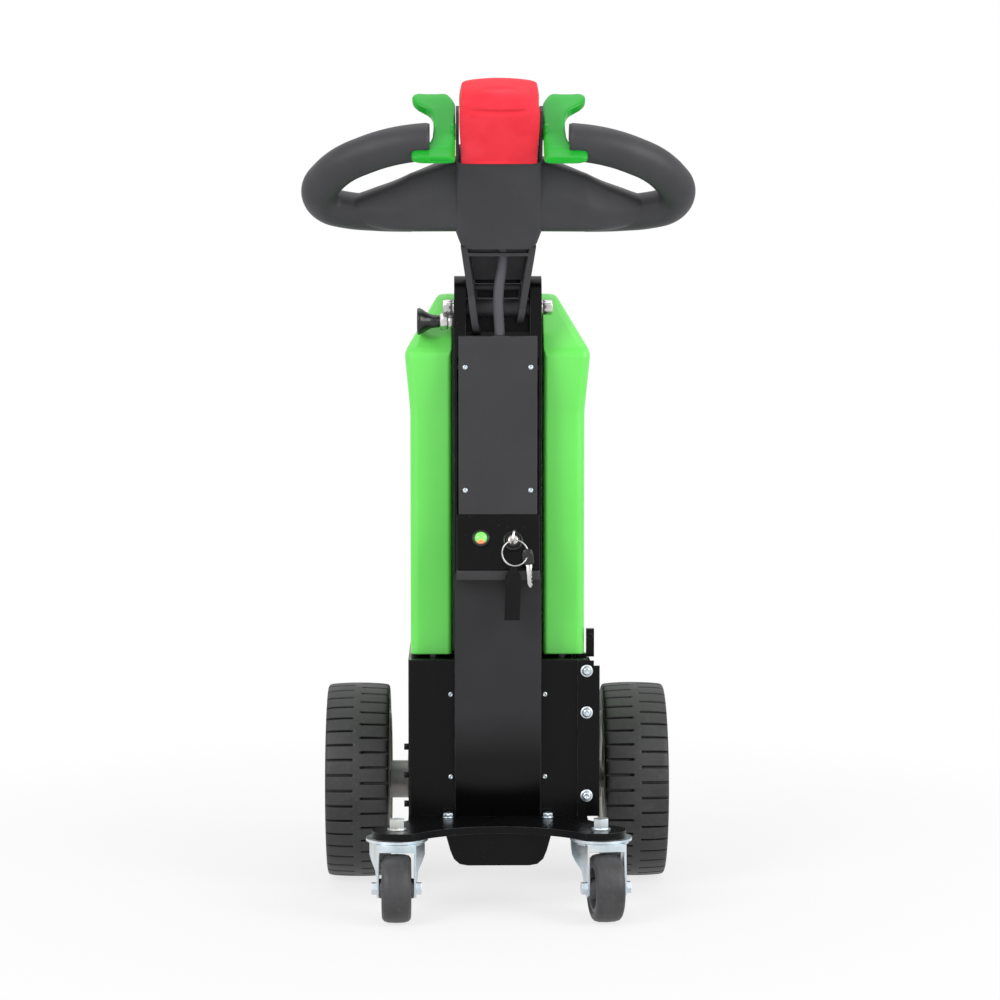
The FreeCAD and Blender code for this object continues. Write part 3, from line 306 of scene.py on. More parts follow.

# %% [markdown]
# ## Green cover
#
# The battery cover is one vacuum formed shell with a bright, softly glossy green coat. Slow shade
# changes come from the forming, small ones from handling, and the corners are painted a paler green
# as a painted reflection of the bright room.


# %% Green cover
def cover_coat():
    """Smooth coat: slow shade changes, faint scuffs, painted reflection paler on the corners, light
    orange peel.
    """
    f = Finish("cover_green")
    slow = f.noise(3.0, 3.0)
    scuff = f.noise(34.0, 6.0, (1.0, 1.0, 0.35)).between(0.60, 0.74)
    colour = f.layers((102, 231, 86), slow.between(0.35, 0.65), (116, 242, 100))
    # Painted reflection: corners within 4 mm turn a paler green.
    colour = f.layers(colour, scuff * 0.10, (140, 216, 130), f.edges(0.004) * 0.30, (140, 228, 128))
    roughness = 0.32 + slow * 0.08 + scuff * 0.10
    normal = f.bump(f.noise(260.0, 2.0), 0.10, 0.0005, 0.003)
    return f.paint(colour, roughness, normal, Coat_Weight=0.35, Coat_Roughness=0.16)


print("made", cover_coat().name)

# %% [markdown]
# ## Plated and bare steel
#
# Casters and bolts are zinc plated: a bluish, cloudy grey with faint straw and green patches where
# the passivation is thicker. The pivot bolt and the keys are bright steel, and the motors' castings
# are a duller grey.


# %% Zinc and steel
def plated(name, low, high, warm, cool, rough, cloud):
    """Metal with clouds between two greys, a warm and a cool cast in patches, painted highlights on
    the edges, and fine bump.
    """
    f = Finish(name)
    clouds = f.noise(cloud, 5.0).between(0.3, 0.7)
    patch = f.noise(cloud * 0.4, 3.0)
    grain = f.noise(1800.0, 2.0)
    warmth, chill = patch.between(0.55, 0.72) * 0.5, patch.between(0.45, 0.28) * 0.5
    colour = f.layers(low, clouds, high, warmth, warm, chill, cool)
    # Painted highlight: the edges turn lighter, towards near white.
    colour = f.layers(colour, f.edges(0.0012) * 0.3, (228, 231, 233))
    roughness = rough + clouds * 0.12 + grain * 0.05
    return f.paint(colour, roughness, f.bump(grain, 0.12, 0.0002, 0.0008), Metallic=0.90)


plated("zinc", (192, 204, 212), (226, 234, 239), (206, 200, 176), (160, 196, 206), 0.26, 40.0)
plated("steel", (184, 183, 182), (222, 221, 219), (204, 192, 188), (190, 196, 204), 0.18, 70.0)
plated("motor_cast", (132, 131, 130), (160, 159, 158), (152, 146, 136), (138, 144, 150), 0.38, 60.0)

# %% [markdown]
# ## Rubber
#
# The drive tyres are solid black rubber, the caster tyres dark grey elastic rubber that does not
# mark floors. Rubber is rough, so a broad soft highlight and a dusty colour do most of the work.


# %% Rubber
def rubber(name, deep, worn, rough, dust):
    """Rubber: deep colour in the grain, worn colour where it rubs, pale dust in patches."""
    f = Finish(name)
    patch = f.noise(26.0, 5.0).between(0.40, 0.70)
    grain = f.noise(900.0, 3.0)
    powder = f.noise(150.0, 4.0).between(0.55, 0.80)
    colour = f.layers(deep, patch, worn, powder * dust, (140, 136, 128))
    colour = f.layers(colour, f.edges(0.0014) * 0.25, worn)
    roughness = rough + patch * 0.10 - grain * 0.06
    return f.paint(colour, roughness, f.bump(grain, 0.35, 0.0004, 0.0010))


rubber("tyre_black", (39, 39, 40), (54, 54, 55), 0.50, 0.08)
rubber("caster_grey", (52, 52, 54), (70, 70, 72), 0.50, 0.10)

# %% [markdown]
# ## Moulded plastics
#
# The tiller casing and the grips are dark grey with a fine grain, the levers green, the knob and
# the bezels glossy black, and the caster centres plain grey. One function makes them all, because
# they differ only in colour, gloss and grain.


# %% Moulded plastics
def moulded(name, base, shine, rough, grain_size, grain_depth, coat=0.0):
    """Plastic: base colour, shine colour as painted sheen on handled patches and edges, a grain of
    that size per metre.
    """
    f = Finish(name)
    handled_wear_and_sheen = f.noise(14.0, 4.0).between(0.45, 0.75)
    grain = f.noise(grain_size, 2.0, roughness=0.6)
    # Painted sheen: handled patches, which are also real wear with less roughness, and the edges take
    # the lighter shine colour.
    colour = f.layers(base, handled_wear_and_sheen * 0.35, shine, f.edges(0.0012) * 0.30, shine)
    roughness = rough - handled_wear_and_sheen * 0.08 + grain * 0.06
    normal = f.bump(grain, grain_depth, 0.0003, 0.0012)
    return f.paint(
        colour, roughness, normal, Coat_Weight=coat, Coat_Roughness=0.12, Specular_IOR_Level=0.35
    )


moulded("head_grey", (56, 56, 59), (72, 72, 76), 0.48, 1500.0, 0.5)
moulded("lever_green", (0, 172, 34), (20, 196, 56), 0.34, 900.0, 0.1, coat=0.12)
moulded("knob_black", (26, 26, 28), (50, 50, 53), 0.30, 900.0, 0.1, coat=0.2)
moulded("caster_core_grey", (88, 89, 92), (110, 111, 114), 0.45, 900.0, 0.2)
moulded("battery_dark", (30, 30, 32), (46, 46, 48), 0.5, 700.0, 0.3)
moulded("cable_grey", (84, 84, 89), (106, 106, 112), 0.42, 700.0, 0.2)
moulded("rim_cream", (196, 192, 180), (222, 219, 208), 0.36, 500.0, 0.2)
print("finishes so far:", len(FINISHES))

# %% [markdown]
# ## Pad, strap and lamp
#
# The belly pad is a soft red skin over foam, the key strap is webbing, and the lamp a clear green
# lens with an orange glow low down. The weave is two crossed sine waves, which is cheaper and
# sharper than a picture of cloth.


# %% Pad, strap and lamp
def soft_skin():
    """Soft vinyl skin in red: slow shade changes and a fine leather-like grain."""
    f = Finish("pad_red")
    slow = f.noise(18.0, 3.0)
    colour = f.layers((240, 46, 62), slow.between(0.35, 0.65), (250, 62, 78))
    normal = f.bump(f.cells(900.0), 0.18, 0.0003)
    return f.paint(colour, 0.46 + slow * 0.10, normal, Specular_IOR_Level=0.22)


def woven_strap():
    """Flat black webbing: two crossed sine waves stand for warp and weft."""
    f = Finish("strap_black")
    warp = (f.along("X") * 5200.0).math("SINE")
    weft = (f.along("Z") * 3600.0).math("SINE")
    weave = (warp * weft + 1.0) * 0.5
    colour = f.layers((4, 4, 5), weave * 0.6, (20, 20, 22))
    normal = f.bump(weave, 0.6, 0.0003)
    return f.paint(colour, 0.78 - weave * 0.1, normal, Specular_IOR_Level=0.2)


def lit_lens():
    """Lamp lens: green above, orange in a wedge below, glowing through clear plastic, with painted
    glints.
    """
    f = Finish("lens_green")
    low, high = (Vector(corner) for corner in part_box("lamp_lens"))
    middle = (low + high) / 2.0
    sideways = (f.along("X") - middle.x).math("ABSOLUTE")
    below = (middle.z + 0.0025) - f.along("Z")
    wedge = (below - sideways * 0.8).between(-0.0005, 0.0030)
    # Painted glints: pale yellow flecks in scattered cells over the lens.
    painted_glint = f.cells(700.0).between(0.0, 0.7) * 0.30
    colour = f.layers((30, 216, 50), wedge, (236, 84, 30), painted_glint, (250, 250, 190))
    return f.set(
        Base_Color=colour, Emission_Color=colour, Emission_Strength=0.35, Roughness=0.12,
        Coat_Weight=0.6, Coat_Roughness=0.05,
    )


print("made", soft_skin().name, woven_strap().name, lit_lens().name)

# %% [markdown]
# ## Dress the CAD model
#
# The record names a slot for every CAD node, and the node takes the finish of that name. Three
# nodes have a coat of their own.

# %% Give every CAD node its finish
# The lower cover's own coat carries a painted reflection, near black, at its foot.
OTHER_COATS = {
    "lower_cover": "lower_cover_painted_reflection_coat",
    "gearmotor_left": "motor_cast",
    "gearmotor_right": "motor_cast",
}


def dress_nodes():
    """Each node takes the material of the record's slot, or its own coat."""
    for part in frame["record"]["subparts"]:
        coats = frame["nodes"][part["node"]].data.materials
        coats.clear()
        coats.append(FINISHES[OTHER_COATS.get(part["node"], part["material_slot"])])


dress_nodes()
print("finishes:", len(FINISHES))

# %% [markdown]
# ## Surfaces from grids
#
# Every new piece is a stack of rings: one closed curve, carried along something and changed on the
# way. In numpy the stack is one array of shape (rings, points per ring, 3), so no loop runs over
# points. An end ring closes on its mean point, and the signed volume of the closed shape tells
# whether its faces look outward. The lengths of all pieces are millimetres.


# %% Rings to meshes
def ring_quads(rings, points, wrap=False):
    """Corner numbers of the quads between rings; wrap joins the last ring to the first."""
    i = np.arange(rings if wrap else rings - 1)[:, None]
    j = np.arange(points)[None, :]
    after = (i + 1) % rings
    beside = (j + 1) % points
    corners = [i * points + j, i * points + beside, after * points + beside, after * points + j]
    return np.stack(np.broadcast_arrays(*corners), axis=-1).reshape(-1, 4)


def closed_stack(rings):
    """Points and faces of a stack of rings whose two ends close on their mean points."""
    m, n, _ = rings.shape
    points = np.concatenate([rings.reshape(-1, 3), rings[:1].mean(axis=1), rings[-1:].mean(axis=1)])
    j = np.arange(n)
    k = (j + 1) % n
    low = np.stack([np.full(n, m * n), k, j], axis=1)
    high = np.stack([np.full(n, m * n + 1), (m - 1) * n + j, (m - 1) * n + k], axis=1)
    return points, [ring_quads(m, n), low, high]


def wrapped_stack(rings):
    """Points and faces of a stack that closes on itself, like a doughnut."""
    m, n, _ = rings.shape
    return rings.reshape(-1, 3), [ring_quads(m, n, wrap=True)]


def outward(points, blocks):
    """The faces, turned round where the signed volume, a sum of p0 . (p1 x p2), is negative."""
    volume = 0.0
    for block in blocks:
        for second, third in ((1, 2), (2, -1)):
            sides = np.cross(points[block[:, second]], points[block[:, third]])
            volume += np.einsum("ij,ij->", points[block[:, 0]], sides)
    return [block[:, ::-1] for block in blocks] if volume < 0.0 else blocks


def mesh_object(name, points, faces, coat):
    """Smooth shaded mesh object with that material."""
    mesh = bpy.data.meshes.new(name)
    mesh.from_pydata(points.tolist(), [], faces)
    mesh.polygons.foreach_set("use_smooth", np.ones(len(faces), dtype=bool))
    mesh.materials.append(coat)
    return linked(name, mesh)


def add_piece(name, slot, shapes, *stands_for, body="chassis"):
    """Mesh object from closed shapes; it rides on the body and stands for those nodes."""
    faces = []
    count = 0
    for points, blocks in shapes:
        for block in outward(points, blocks):
            faces += (block + count).tolist()
        count += len(points)
    points = np.concatenate([points for points, _ in shapes])
    piece = mesh_object(name, points * MM, faces, FINISHES[slot])
    if body:
        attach(piece, body)
    if stands_for:
        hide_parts(*stands_for)
    print(name, "faces", len(faces))
    return piece


# %% [markdown]
# ## Curves
#
# A few curves do for all the pieces. A Catmull-Rom curve passes through given points, a polygon
# gets round corners from short quadratic curves, and `smooth` eases from 0 to 1.


# %% Curves
def smooth(value, low, high):
    """Share 3s^2 - 2s^3 of the way from low to high, held between 0 and 1."""
    s = np.clip((value - low) / (high - low), 0.0, 1.0)
    return s * s * (3.0 - 2.0 * s)


def circle(count):
    """Angles all the way round, evenly spaced."""
    return np.linspace(0.0, 2.0 * math.pi, count, endpoint=False)


def unit(vectors):
    """Vectors along the last axis, brought to length 1."""
    return vectors / np.linalg.norm(vectors, axis=-1, keepdims=True)


def travelled(line):
    """Length of the line up to each of its points."""
    return np.concatenate([[0.0], np.cumsum(np.linalg.norm(np.diff(line, axis=0), axis=1))])


def curve_through(knots, index):
    """Catmull-Rom curve through the knots, at places counted in knots from the first."""
    low = np.clip(np.floor(index).astype(int), 0, len(knots) - 2)
    t = (index - low).reshape((-1,) + (1,) * (knots.ndim - 1))
    p = [knots[np.clip(low + k, 0, len(knots) - 1)] for k in (-1, 0, 1, 2)]
    return 0.5 * (
        2.0 * p[1] + (p[2] - p[0]) * t + (2 * p[0] - 5 * p[1] + 4 * p[2] - p[3]) * t ** 2
        + (3 * p[1] - p[0] - 3 * p[2] + p[3]) * t ** 3
    )


def spline_ring(corners, per_run):
    """Closed smooth curve through all corners, with per_run points from each to the next."""
    corner = np.array(corners, dtype=float)
    knots = np.concatenate([corner[-1:], corner, corner[:2]])
    return curve_through(knots, 1.0 + np.arange(len(corner) * per_run) / per_run)


def rounded_ring(corners, radius, per_corner=7):
    """Closed curve through a polygon whose corners are replaced by short quadratic curves."""
    corner = np.array(corners, dtype=float)
    t = np.linspace(0.0, 1.0, per_corner)[None, :, None]
    curve = 2 * t * (1 - t) * corner[:, None]
    for step, share in ((1, (1 - t) ** 2), (-1, t ** 2)):
        way = np.roll(corner, step, axis=0) - corner
        cut = np.minimum(radius, 0.45 * np.linalg.norm(way, axis=1))[:, None]
        curve = curve + share * (corner + unit(way) * cut)[:, None]
    return curve.reshape(-1, corner.shape[1])


# %% [markdown]
# ## Turned pieces
#
# Knobs, bezels, heads and washers are turned: an outline of (height, radius) swept round an axis. A
# hexagon is the same with a radius that changes with the angle, so one function makes both.


# %% Turned shapes
def across(axis):
    """Two unit directions at right angles to the axis and to each other."""
    first = unit(np.cross(axis, (0.0, 0.0, 1.0) if abs(axis[2]) < 0.8 else (0.0, 1.0, 0.0)))
    return first, np.cross(axis, first)


def hexagon_factor(angle):
    """Radius of a hexagon over that of its inscribed circle: 1 / cos of the angle to a flat."""
    return 1.0 / np.cos((angle + math.pi / 6.0) % (math.pi / 3.0) - math.pi / 6.0)


def turned(centre, axis, outline, sides=48):
    """Rings round the axis; rows of the outline are height, radius and a 1 where six-sided."""
    heights, radii, six = np.array([(*row, 0)[:3] for row in outline], dtype=float).T[..., None]
    angle = circle(sides)[None, :]
    radius = radii * (1.0 + six * (hexagon_factor(angle) - 1.0))
    first, second = across(axis)
    rings = (
        np.asarray(centre) + heights[..., None] * np.asarray(axis)
        + (radius * np.cos(angle))[..., None] * first + (radius * np.sin(angle))[..., None] * second
    )
    return closed_stack(rings)


def box_of(node):
    """Low corner, high corner and middle of a CAD node's box, in mm."""
    low, high = (np.array(corner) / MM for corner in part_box(node))
    return low, high, (low + high) / 2.0


def joint_place(name):
    """Where the record puts that joint, in mm."""
    joints = frame["record"]["behaviour"]["joints"]
    return np.array(next(joint["pos_m"] for joint in joints if joint["name"] == name)) / MM


def islands(node):
    """Boxes of a CAD node's separate solids: labels spread over shared corners till they settle."""
    mesh = frame["nodes"][node].data
    co = np.empty(len(mesh.vertices) * 3)
    mesh.vertices.foreach_get("co", co)
    co = co.reshape(-1, 3)
    _, same = np.unique(np.round(co * 20000.0).astype(int), axis=0, return_inverse=True)
    corners = np.empty(len(mesh.loops), dtype=int)
    mesh.loops.foreach_get("vertex_index", corners)
    triangles = same.ravel()[corners].reshape(-1, 3)
    label = np.arange(same.max() + 1)
    settled = False
    while not settled:
        spread = label.copy()
        np.minimum.at(spread, triangles, label[triangles].min(axis=1)[:, None].repeat(3, axis=1))
        settled = np.array_equal(spread, label)
        label = spread
    owner = label[same.ravel()]
    boxes = [(co[owner == k].min(axis=0), co[owner == k].max(axis=0)) for k in np.unique(owner)]
    return sorted(boxes, key=lambda b: tuple(np.round(b[0], 4)))


print("solids among the mast's screws:", len(islands("cover_screws")))

# %% [markdown]
# ## Drive tyres
#
# Two rows of lugs, half a pitch apart, stand on each side of a plain rib. The tyre is one grid: its
# section is swept round the axle, and inside a slot the tread's radius is held down to the slot's
# floor. Columns are crowded at the slot walls, which makes them steep without a huge mesh. Cutting
# 160 slots with booleans would be slower and leave ragged faces.

# %% Drive tyres
LUGS = 40
PITCH = 2.0 * math.pi / LUGS
TYRE_R = 140.0
SLOT_HALF = 1.8
SLOT_FLOOR = 133.0
RIB_HALF = 6.0
WALL_HALF = 0.3
TREAD = (
    (37.9, 98), (40.5, 101), (42.6, 105), (43.6, 109), (44.6, 111.5), (44.9, 115), (44.6, 118),
    (43.7, 119.5), (43.8, 123), (44.3, 127), (44.5, 131), (44.3, 133.8), (43.6, 135.6),
    (42.3, 136.9), (40, 137.8), (36, 138.4), (29, 139), (22, 139.4), (14, 139.75), (6.6, 139.9),
    (6, 139.9), (5.4, 139.9), (2, 140),
)
SEAT = ((37.9, 102.05), (36, 102.05), (30, 98.05), (10, 98.05))
RIM_DISH = (
    (41.2, 97.4), (44.4, 98.6), (46, 97.6), (46.4, 95.6), (45.4, 92.8), (43.2, 90.6), (42.4, 84),
    (42, 72), (41.4, 63.5), (40.2, 61), (38.6, 61.4), (39.4, 72), (39.8, 84), (40.2, 92),
)


def tread_angles():
    """Angles of the grid's columns, crowded where the two rows have their slot walls."""
    near = np.array([-2.5, -2.1, -1.8, -1.5, -1.1, 0.0, 1.1, 1.5, 1.8, 2.1, 2.5]) / TYRE_R
    one = np.concatenate([0.25 * PITCH + near, [0.5 * PITCH], 0.75 * PITCH + near, [PITCH]])
    return (np.arange(LUGS)[:, None] * PITCH + one[None, :]).ravel()


def slot_share(x, angle):
    """1 inside a slot, 0 on a lug; slots lie a quarter pitch on at x > 0 and back at x < 0."""
    off = (angle - 0.25 * PITCH * np.sign(x) + PITCH / 2.0) % PITCH - PITCH / 2.0
    beside = smooth(np.abs(off) * TYRE_R, SLOT_HALF - WALL_HALF, SLOT_HALF + WALL_HALF)
    return (1.0 - beside) * smooth(np.abs(x), RIB_HALF - WALL_HALF, RIB_HALF + WALL_HALF)


def round_axle(side, x, radius, angle):
    """Section swept round that side's axle: y = r sin(angle), z = r cos(angle)."""
    rings = np.stack([x + 0.0 * angle, radius * np.sin(angle), radius * np.cos(angle)], axis=-1)
    return wrapped_stack(rings + joint_place("drive_spin_" + side))


def drive_wheel(side, sign):
    """Tyre whose tread is r0 - share (r0 - floor) over the slot floor, and the rim's inner ring."""
    wheel = "drive_wheel_" + side
    half, seat = np.array(TREAD), np.array(SEAT)
    mirror = (-1.0, 1.0)
    x, radius = np.concatenate([half, half[::-1] * mirror, seat * mirror, seat[::-1]]).T
    angle = tread_angles()[:, None]
    cut = np.maximum(radius - SLOT_FLOOR, 0.0) * slot_share(x, angle)
    tyre = round_axle(side, x, radius - cut, -angle)
    add_piece("tyre_" + side, "tyre_black", [tyre], "drive_tyre_" + side, body=wheel)
    x, radius = spline_ring(RIM_DISH, 4).T
    dish = round_axle(side, -sign * x, radius, circle(128)[:, None])
    add_piece("rim_dish_" + side, "rim_cream", [dish], body=wheel)


for side, sign in SIDES:
    drive_wheel(side, sign)

# %% [markdown]
# ## Hand loops
#
# Each loop is a soft grip tube that leaves a faceted root on the head, swings out and comes back
# over the top to a flat cut end. The tube follows corners rounded by circular arcs. The root is a
# stack of rounded six-cornered sections, carried from the head to the tube. The two closed shapes
# pass into each other, which saves a boolean and hides the joint in a soft crease.

# %% Hand loops
PIVOT = joint_place("tiller_tilt")
LEAN = math.radians(30.0)
SLOPE = math.radians(40.0)
HEAD_HALF = 57.5
LOOP_ORIGIN = PIVOT + (0.0, 15.5 - 164.0 * math.sin(LEAN), 164.0 * math.cos(LEAN))
LOOP_R = 25.0
LOOP_STEP = 3.0
LOOP_CORNERS = (
    (60, -23.4), (92.5, -23), (140.5, -19), (176.5, -8), (186.5, 26), (154.5, 73), (84.5, 112),
    (34.5, 117.9),
)
LOOP_BENDS = (400, 150, 31, 38, 115, 195)
ROOT_ROUND = 9.0
WINGS = (
    (-6, ((-52, 56), (-49, 8), (-24, -40), (2, -40), (18, -16), (-16, 64))),
    (30, ((-43, 45), (-42, -1), (-20, -40), (7, -40), (22, -17), (-8, 52))),
    (62, ((-34, 35), (-34, -10), (-16, -40), (11, -40), (26, -19), (1, 39))),
    (83.5, ((-25, 24), (-25, -20), (-11, -39), (15, -39), (29, -21), (9, 30))),
    (108, ((-16, 15), (-18, -18), (-6, -35), (17, -35), (30, -20), (13, 22))),
    (132, ((-8, 7), (-13, -15), (-1, -30), (18, -30), (30, -16), (18, 14))),
    (148.5, ((-3, 2), (-9, -12), (3, -25), (18, -25), (28, -13), (19, 9))),
)


def loop_line():
    """Even points along the loop: straight runs joined by arcs that touch them."""
    corner = np.array(LOOP_CORNERS) + (HEAD_HALF, 0.0)
    runs = [corner[:1]]
    for before, here, after, bend in zip(corner, corner[1:], corner[2:], LOOP_BENDS):
        ways = unit(np.array([before, after]) - here)
        half = math.acos(ways[0] @ ways[1]) / 2.0
        centre = here + unit(ways.sum(axis=0)) * bend / math.sin(half)
        first, last = here + ways * bend / math.tan(half) - centre
        count = max(3, int(bend * (math.pi - 2.0 * half) / LOOP_STEP))
        share = np.linspace(0.0, 1.0, count)[:, None]
        runs.append(centre + bend * unit(first * (1.0 - share) + last * share))
    line = np.concatenate([*runs, corner[-1:]])
    length = travelled(line)
    even = np.linspace(0.0, length[-1], int(length[-1] / LOOP_STEP) + 1)
    return np.stack([np.interp(even, length, line[:, k]) for k in (0, 1)], axis=1)


def loop_bar():
    """Grip tube: circles round the line in a plane at SLOPE, a little smaller at the cut end."""
    line = loop_line()
    left = np.arange(len(line))[::-1, None] * LOOP_STEP
    radius = LOOP_R - 1.5 * (1.0 - smooth(left, 0.0, 1.6))
    way = unit(np.gradient(line, axis=0))
    wide, lift = radius * np.cos(circle(40)), radius * np.sin(circle(40))
    x = line[:, :1] + way[:, 1:] * wide
    s = line[:, 1:] - way[:, :1] * wide
    y = lift * math.sin(SLOPE) - s * math.cos(SLOPE)
    z = lift * math.cos(SLOPE) + s * math.sin(SLOPE)
    rings = np.stack([x, y, z], axis=-1) + LOOP_ORIGIN
    rings[-1, :, 0] = HEAD_HALF + LOOP_CORNERS[-1][0]
    return rings


def loop_root():
    """Faceted root: each point of the keyed sections runs along a curve through its keys."""
    places, sections = zip(*WINGS)
    spots = np.linspace(places[0], places[-1], 60)
    keys = np.array([rounded_ring(section, ROOT_ROUND) for section in sections])
    yz = curve_through(keys, np.interp(spots, places, np.arange(len(places))))
    x = HEAD_HALF + spots[:, None, None] + 0.0 * yz[..., :1]
    return np.concatenate([x, yz + LOOP_ORIGIN[1:]], axis=-1)


def hand_loop(side, sign):
    """Tube and root as two closed shapes, mirrored to that side."""
    shapes = [closed_stack(rings * (sign, 1.0, 1.0)) for rings in (loop_bar(), loop_root())]
    add_piece("hand_loop_" + side, "head_grey", shapes, "grip_" + side, body="tiller")


for side, sign in SIDES:
    hand_loop(side, sign)

# %% [markdown]
# ## Belly pad
#
# The pad is a soft moulded cap. Its side view is a closed outline in the tiller's own frame, which
# leans 30 degrees: b runs away from the operator and a along the arm. The outline is carried across
# the width and draws in towards each side, so the cap is crowned in every direction. A shallow
# crease with a low roll above it crosses the near face.

# %% Belly pad
PAD_HALF = 53.0
PAD_DEPTH = 31.0
CREASE = 311.0
PAD_SIDE = (
    (-27, 236.3), (-29, 240), (-31, 262), (-31.5, 285), (-31, 304), (-29.5, 316), (-25.5, 325.5),
    (-19, 331), (-8, 334.6), (6, 336.6), (17, 337.2), (24, 335), (27.4, 329), (28, 318), (28, 280),
    (28, 240), (27, 236.3),
)


def leaning(x, b, a):
    """Point of the tiller's frame at rest: b away from the operator, a along the arm."""
    y = PIVOT[1] + b * math.cos(LEAN) - a * math.sin(LEAN)
    z = PIVOT[2] + b * math.sin(LEAN) + a * math.cos(LEAN)
    return np.stack(np.broadcast_arrays(PIVOT[0] + x, y, z), axis=-1)


def belly_pad():
    """Side outline carried over the width; u from -1 to 1 is the place across it.

    It draws in by 3.4 (1 - sqrt(1 - u^11)). The crease is the difference of two bells
    exp(-(d / w)^2) of the distance d from its line; a third bell hollows the middle of the top.
    """
    outline = spline_ring(PAD_SIDE, 8)
    u = np.sin(np.linspace(-0.5 * math.pi, 0.5 * math.pi, 72))[:, None]
    draw = 3.4 * (1.0 - (1.0 - np.abs(u) ** 11.0) ** 0.5)
    b = outline[None, :, 0] * (1.0 - draw / PAD_DEPTH)
    a = outline[None, :, 1] + 0.0 * b
    a = a - smooth(a, 250.0, 335.0) * (draw * 0.7 + 4.6 * u ** 2)
    off = a - CREASE - 3.6 * u ** 2
    fold = 2.4 * np.exp(-((off / 2.6) ** 2)) - 1.2 * np.exp(-(((off - 7.0) / 4.5) ** 2))
    b = b + smooth(-b, 6.0, 20.0) * fold * smooth(1.0 - np.abs(u), 0.12, 0.55)
    hollow = np.exp(-(((b + 8.0) / 4.5) ** 2)) * np.maximum(0.0, 1.0 - (u / 0.5) ** 2)
    a = a - smooth(a, 320.0, 329.0) * hollow * 1.5
    barrel = 0.955 + 0.045 * smooth(a, 237.0, 300.0) - 0.080 * smooth(a, 306.0, 338.0)
    shape = closed_stack(leaning(PAD_HALF * barrel * u, b, a))
    piece = add_piece("belly_pad_cap", "pad_red", [shape], "belly_pad", body="tiller")


belly_pad()

# %% [markdown]
# ## Thumb levers
#
# Each lever is a moulded butterfly that wraps the side of the pad. It is drawn as sections, from
# the nearest to the farthest. Each row gives the distance away from the operator, the two ends
# sideways, and the lower and upper face.

# %% Thumb levers
LEVER_FOOT = 236.0
LEVER_RINGS = 130
LEVER_ROWS = (
    (-66, 2, 44, 17.5, 28), (-64.8, 1, 52, 17.3, 28.4), (-62, 0.5, 56.4, 17.2, 29),
    (-57, 0.4, 57.6, 17.4, 29.8), (-52, 0.3, 57.2, 18.2, 31), (-48.5, 0.2, 55, 19, 32),
    (-45.5, 0, 50, 19.8, 33), (-42.5, 0, 43.5, 20.6, 33.8), (-38.5, 0, 37, 21.8, 35.2),
    (-33, 0, 32.6, 23.4, 37.2), (-25, 0, 30, 25.8, 40), (-12, 0, 29, 29.4, 44.2),
    (4, 0, 29, 33.4, 48.6), (14, 0, 30, 35.8, 51.2), (22, 0, 33, 37.8, 53.2),
    (28, 0, 38, 39.4, 54.8), (33, 0, 45, 40.8, 56), (37, 0.4, 50.4, 41.8, 57),
    (42, 1.6, 54.8, 43.2, 58.2), (47, 3.8, 57, 44.8, 59.4), (52, 6.4, 57.6, 46.4, 60.4),
    (56.5, 9.2, 56, 47.8, 61.2), (59.2, 12, 52.4, 49, 61.4), (60.4, 16, 47, 50.4, 60.8),
)
LEVER_HUB = ((0.2, 9), (0.2, 11), (5.6, 11), (7, 9.8), (7.4, 7.6), (6.2, 6.8))


def lever_rings():
    """Rounded rectangles between the two ends and the two faces, dished by a half sine wave."""
    rows = np.array(LEVER_ROWS)
    place = travelled(rows[:, :3])
    spots = np.linspace(0.0, place[-1], LEVER_RINGS)
    b, x0, x1, a0, a1 = (np.interp(spots, place, row)[:, None] for row in rows.T)
    wide, high = rounded_ring(((0.0, 0.0), (1.0, 0.0), (1.0, 1.0), (0.0, 1.0)), 0.30, 9).T
    end_round = np.sin(np.linspace(0.0, math.pi, LEVER_RINGS)) ** 0.12
    thick = (a1 - a0) * end_round[:, None]
    dish = 2.2 * np.sin(math.pi * wide) * smooth(b, -50.0, -20.0)
    a = (a0 + a1 - thick) / 2.0 + thick * high - dish
    return leaning(HEAD_HALF + 0.6 + x0 + (x1 - x0) * wide, b, LEVER_FOOT + a)


def thumb_lever(side, sign):
    """Lever and the round hub it turns on, mirrored to that side."""
    mirror = (sign, 1.0, 1.0)
    hub_place = leaning(HEAD_HALF, -10.0, LEVER_FOOT + 37.0) * mirror
    shapes = [closed_stack(lever_rings() * mirror), turned(hub_place, (sign, 0.0, 0.0), LEVER_HUB)]
    add_piece("thumb_rocker_" + side, "lever_green", shapes, "thumb_lever_" + side, body="tiller")


for side, sign in SIDES:
    thumb_lever(side, sign)

# %% [markdown]
# ## Control cable
#
# The grey cable rises out of the mast, passes the pivot and goes up into the head. It is held at
# both ends. It crosses the tilt joint, but it is one fixed tube that rides on no body.

# %% Control cable
CABLE_R = 5.5
SLEEVE = 1.6
CABLE_POINTS = (
    (0, -92, 746), (1.5, -93, 766), (2.3, -98.5, 790), (1, -106.5, 812), (0.2, -111.5, 832),
    (1.8, -115, 855), (5.5, -118.5, 878), (6.8, -126, 902), (1, -136.5, 921),
)


def cable_rings():
    """Circles along a curve through the points; the sheath is faintly wavy, its sleeve wider."""
    t = np.linspace(0.0, len(CABLE_POINTS) - 1.0, 150)
    line = curve_through(np.array(CABLE_POINTS), t)
    way = unit(np.gradient(line, axis=0))
    first = unit(np.cross(way, (1.0, 0.0, 0.0)))[:, None]
    second = np.cross(way[:, None], first)
    angle = circle(24)[None, :, None]
    sleeve = SLEEVE * smooth(t, 0.2, 1.2) * (1.0 - smooth(t, 7.1, 7.7))
    radius = (CABLE_R + sleeve + 0.06 * np.sin(t * 21.0))[:, None, None]
    return line[:, None] + radius * (first * np.cos(angle) + second * np.sin(angle))


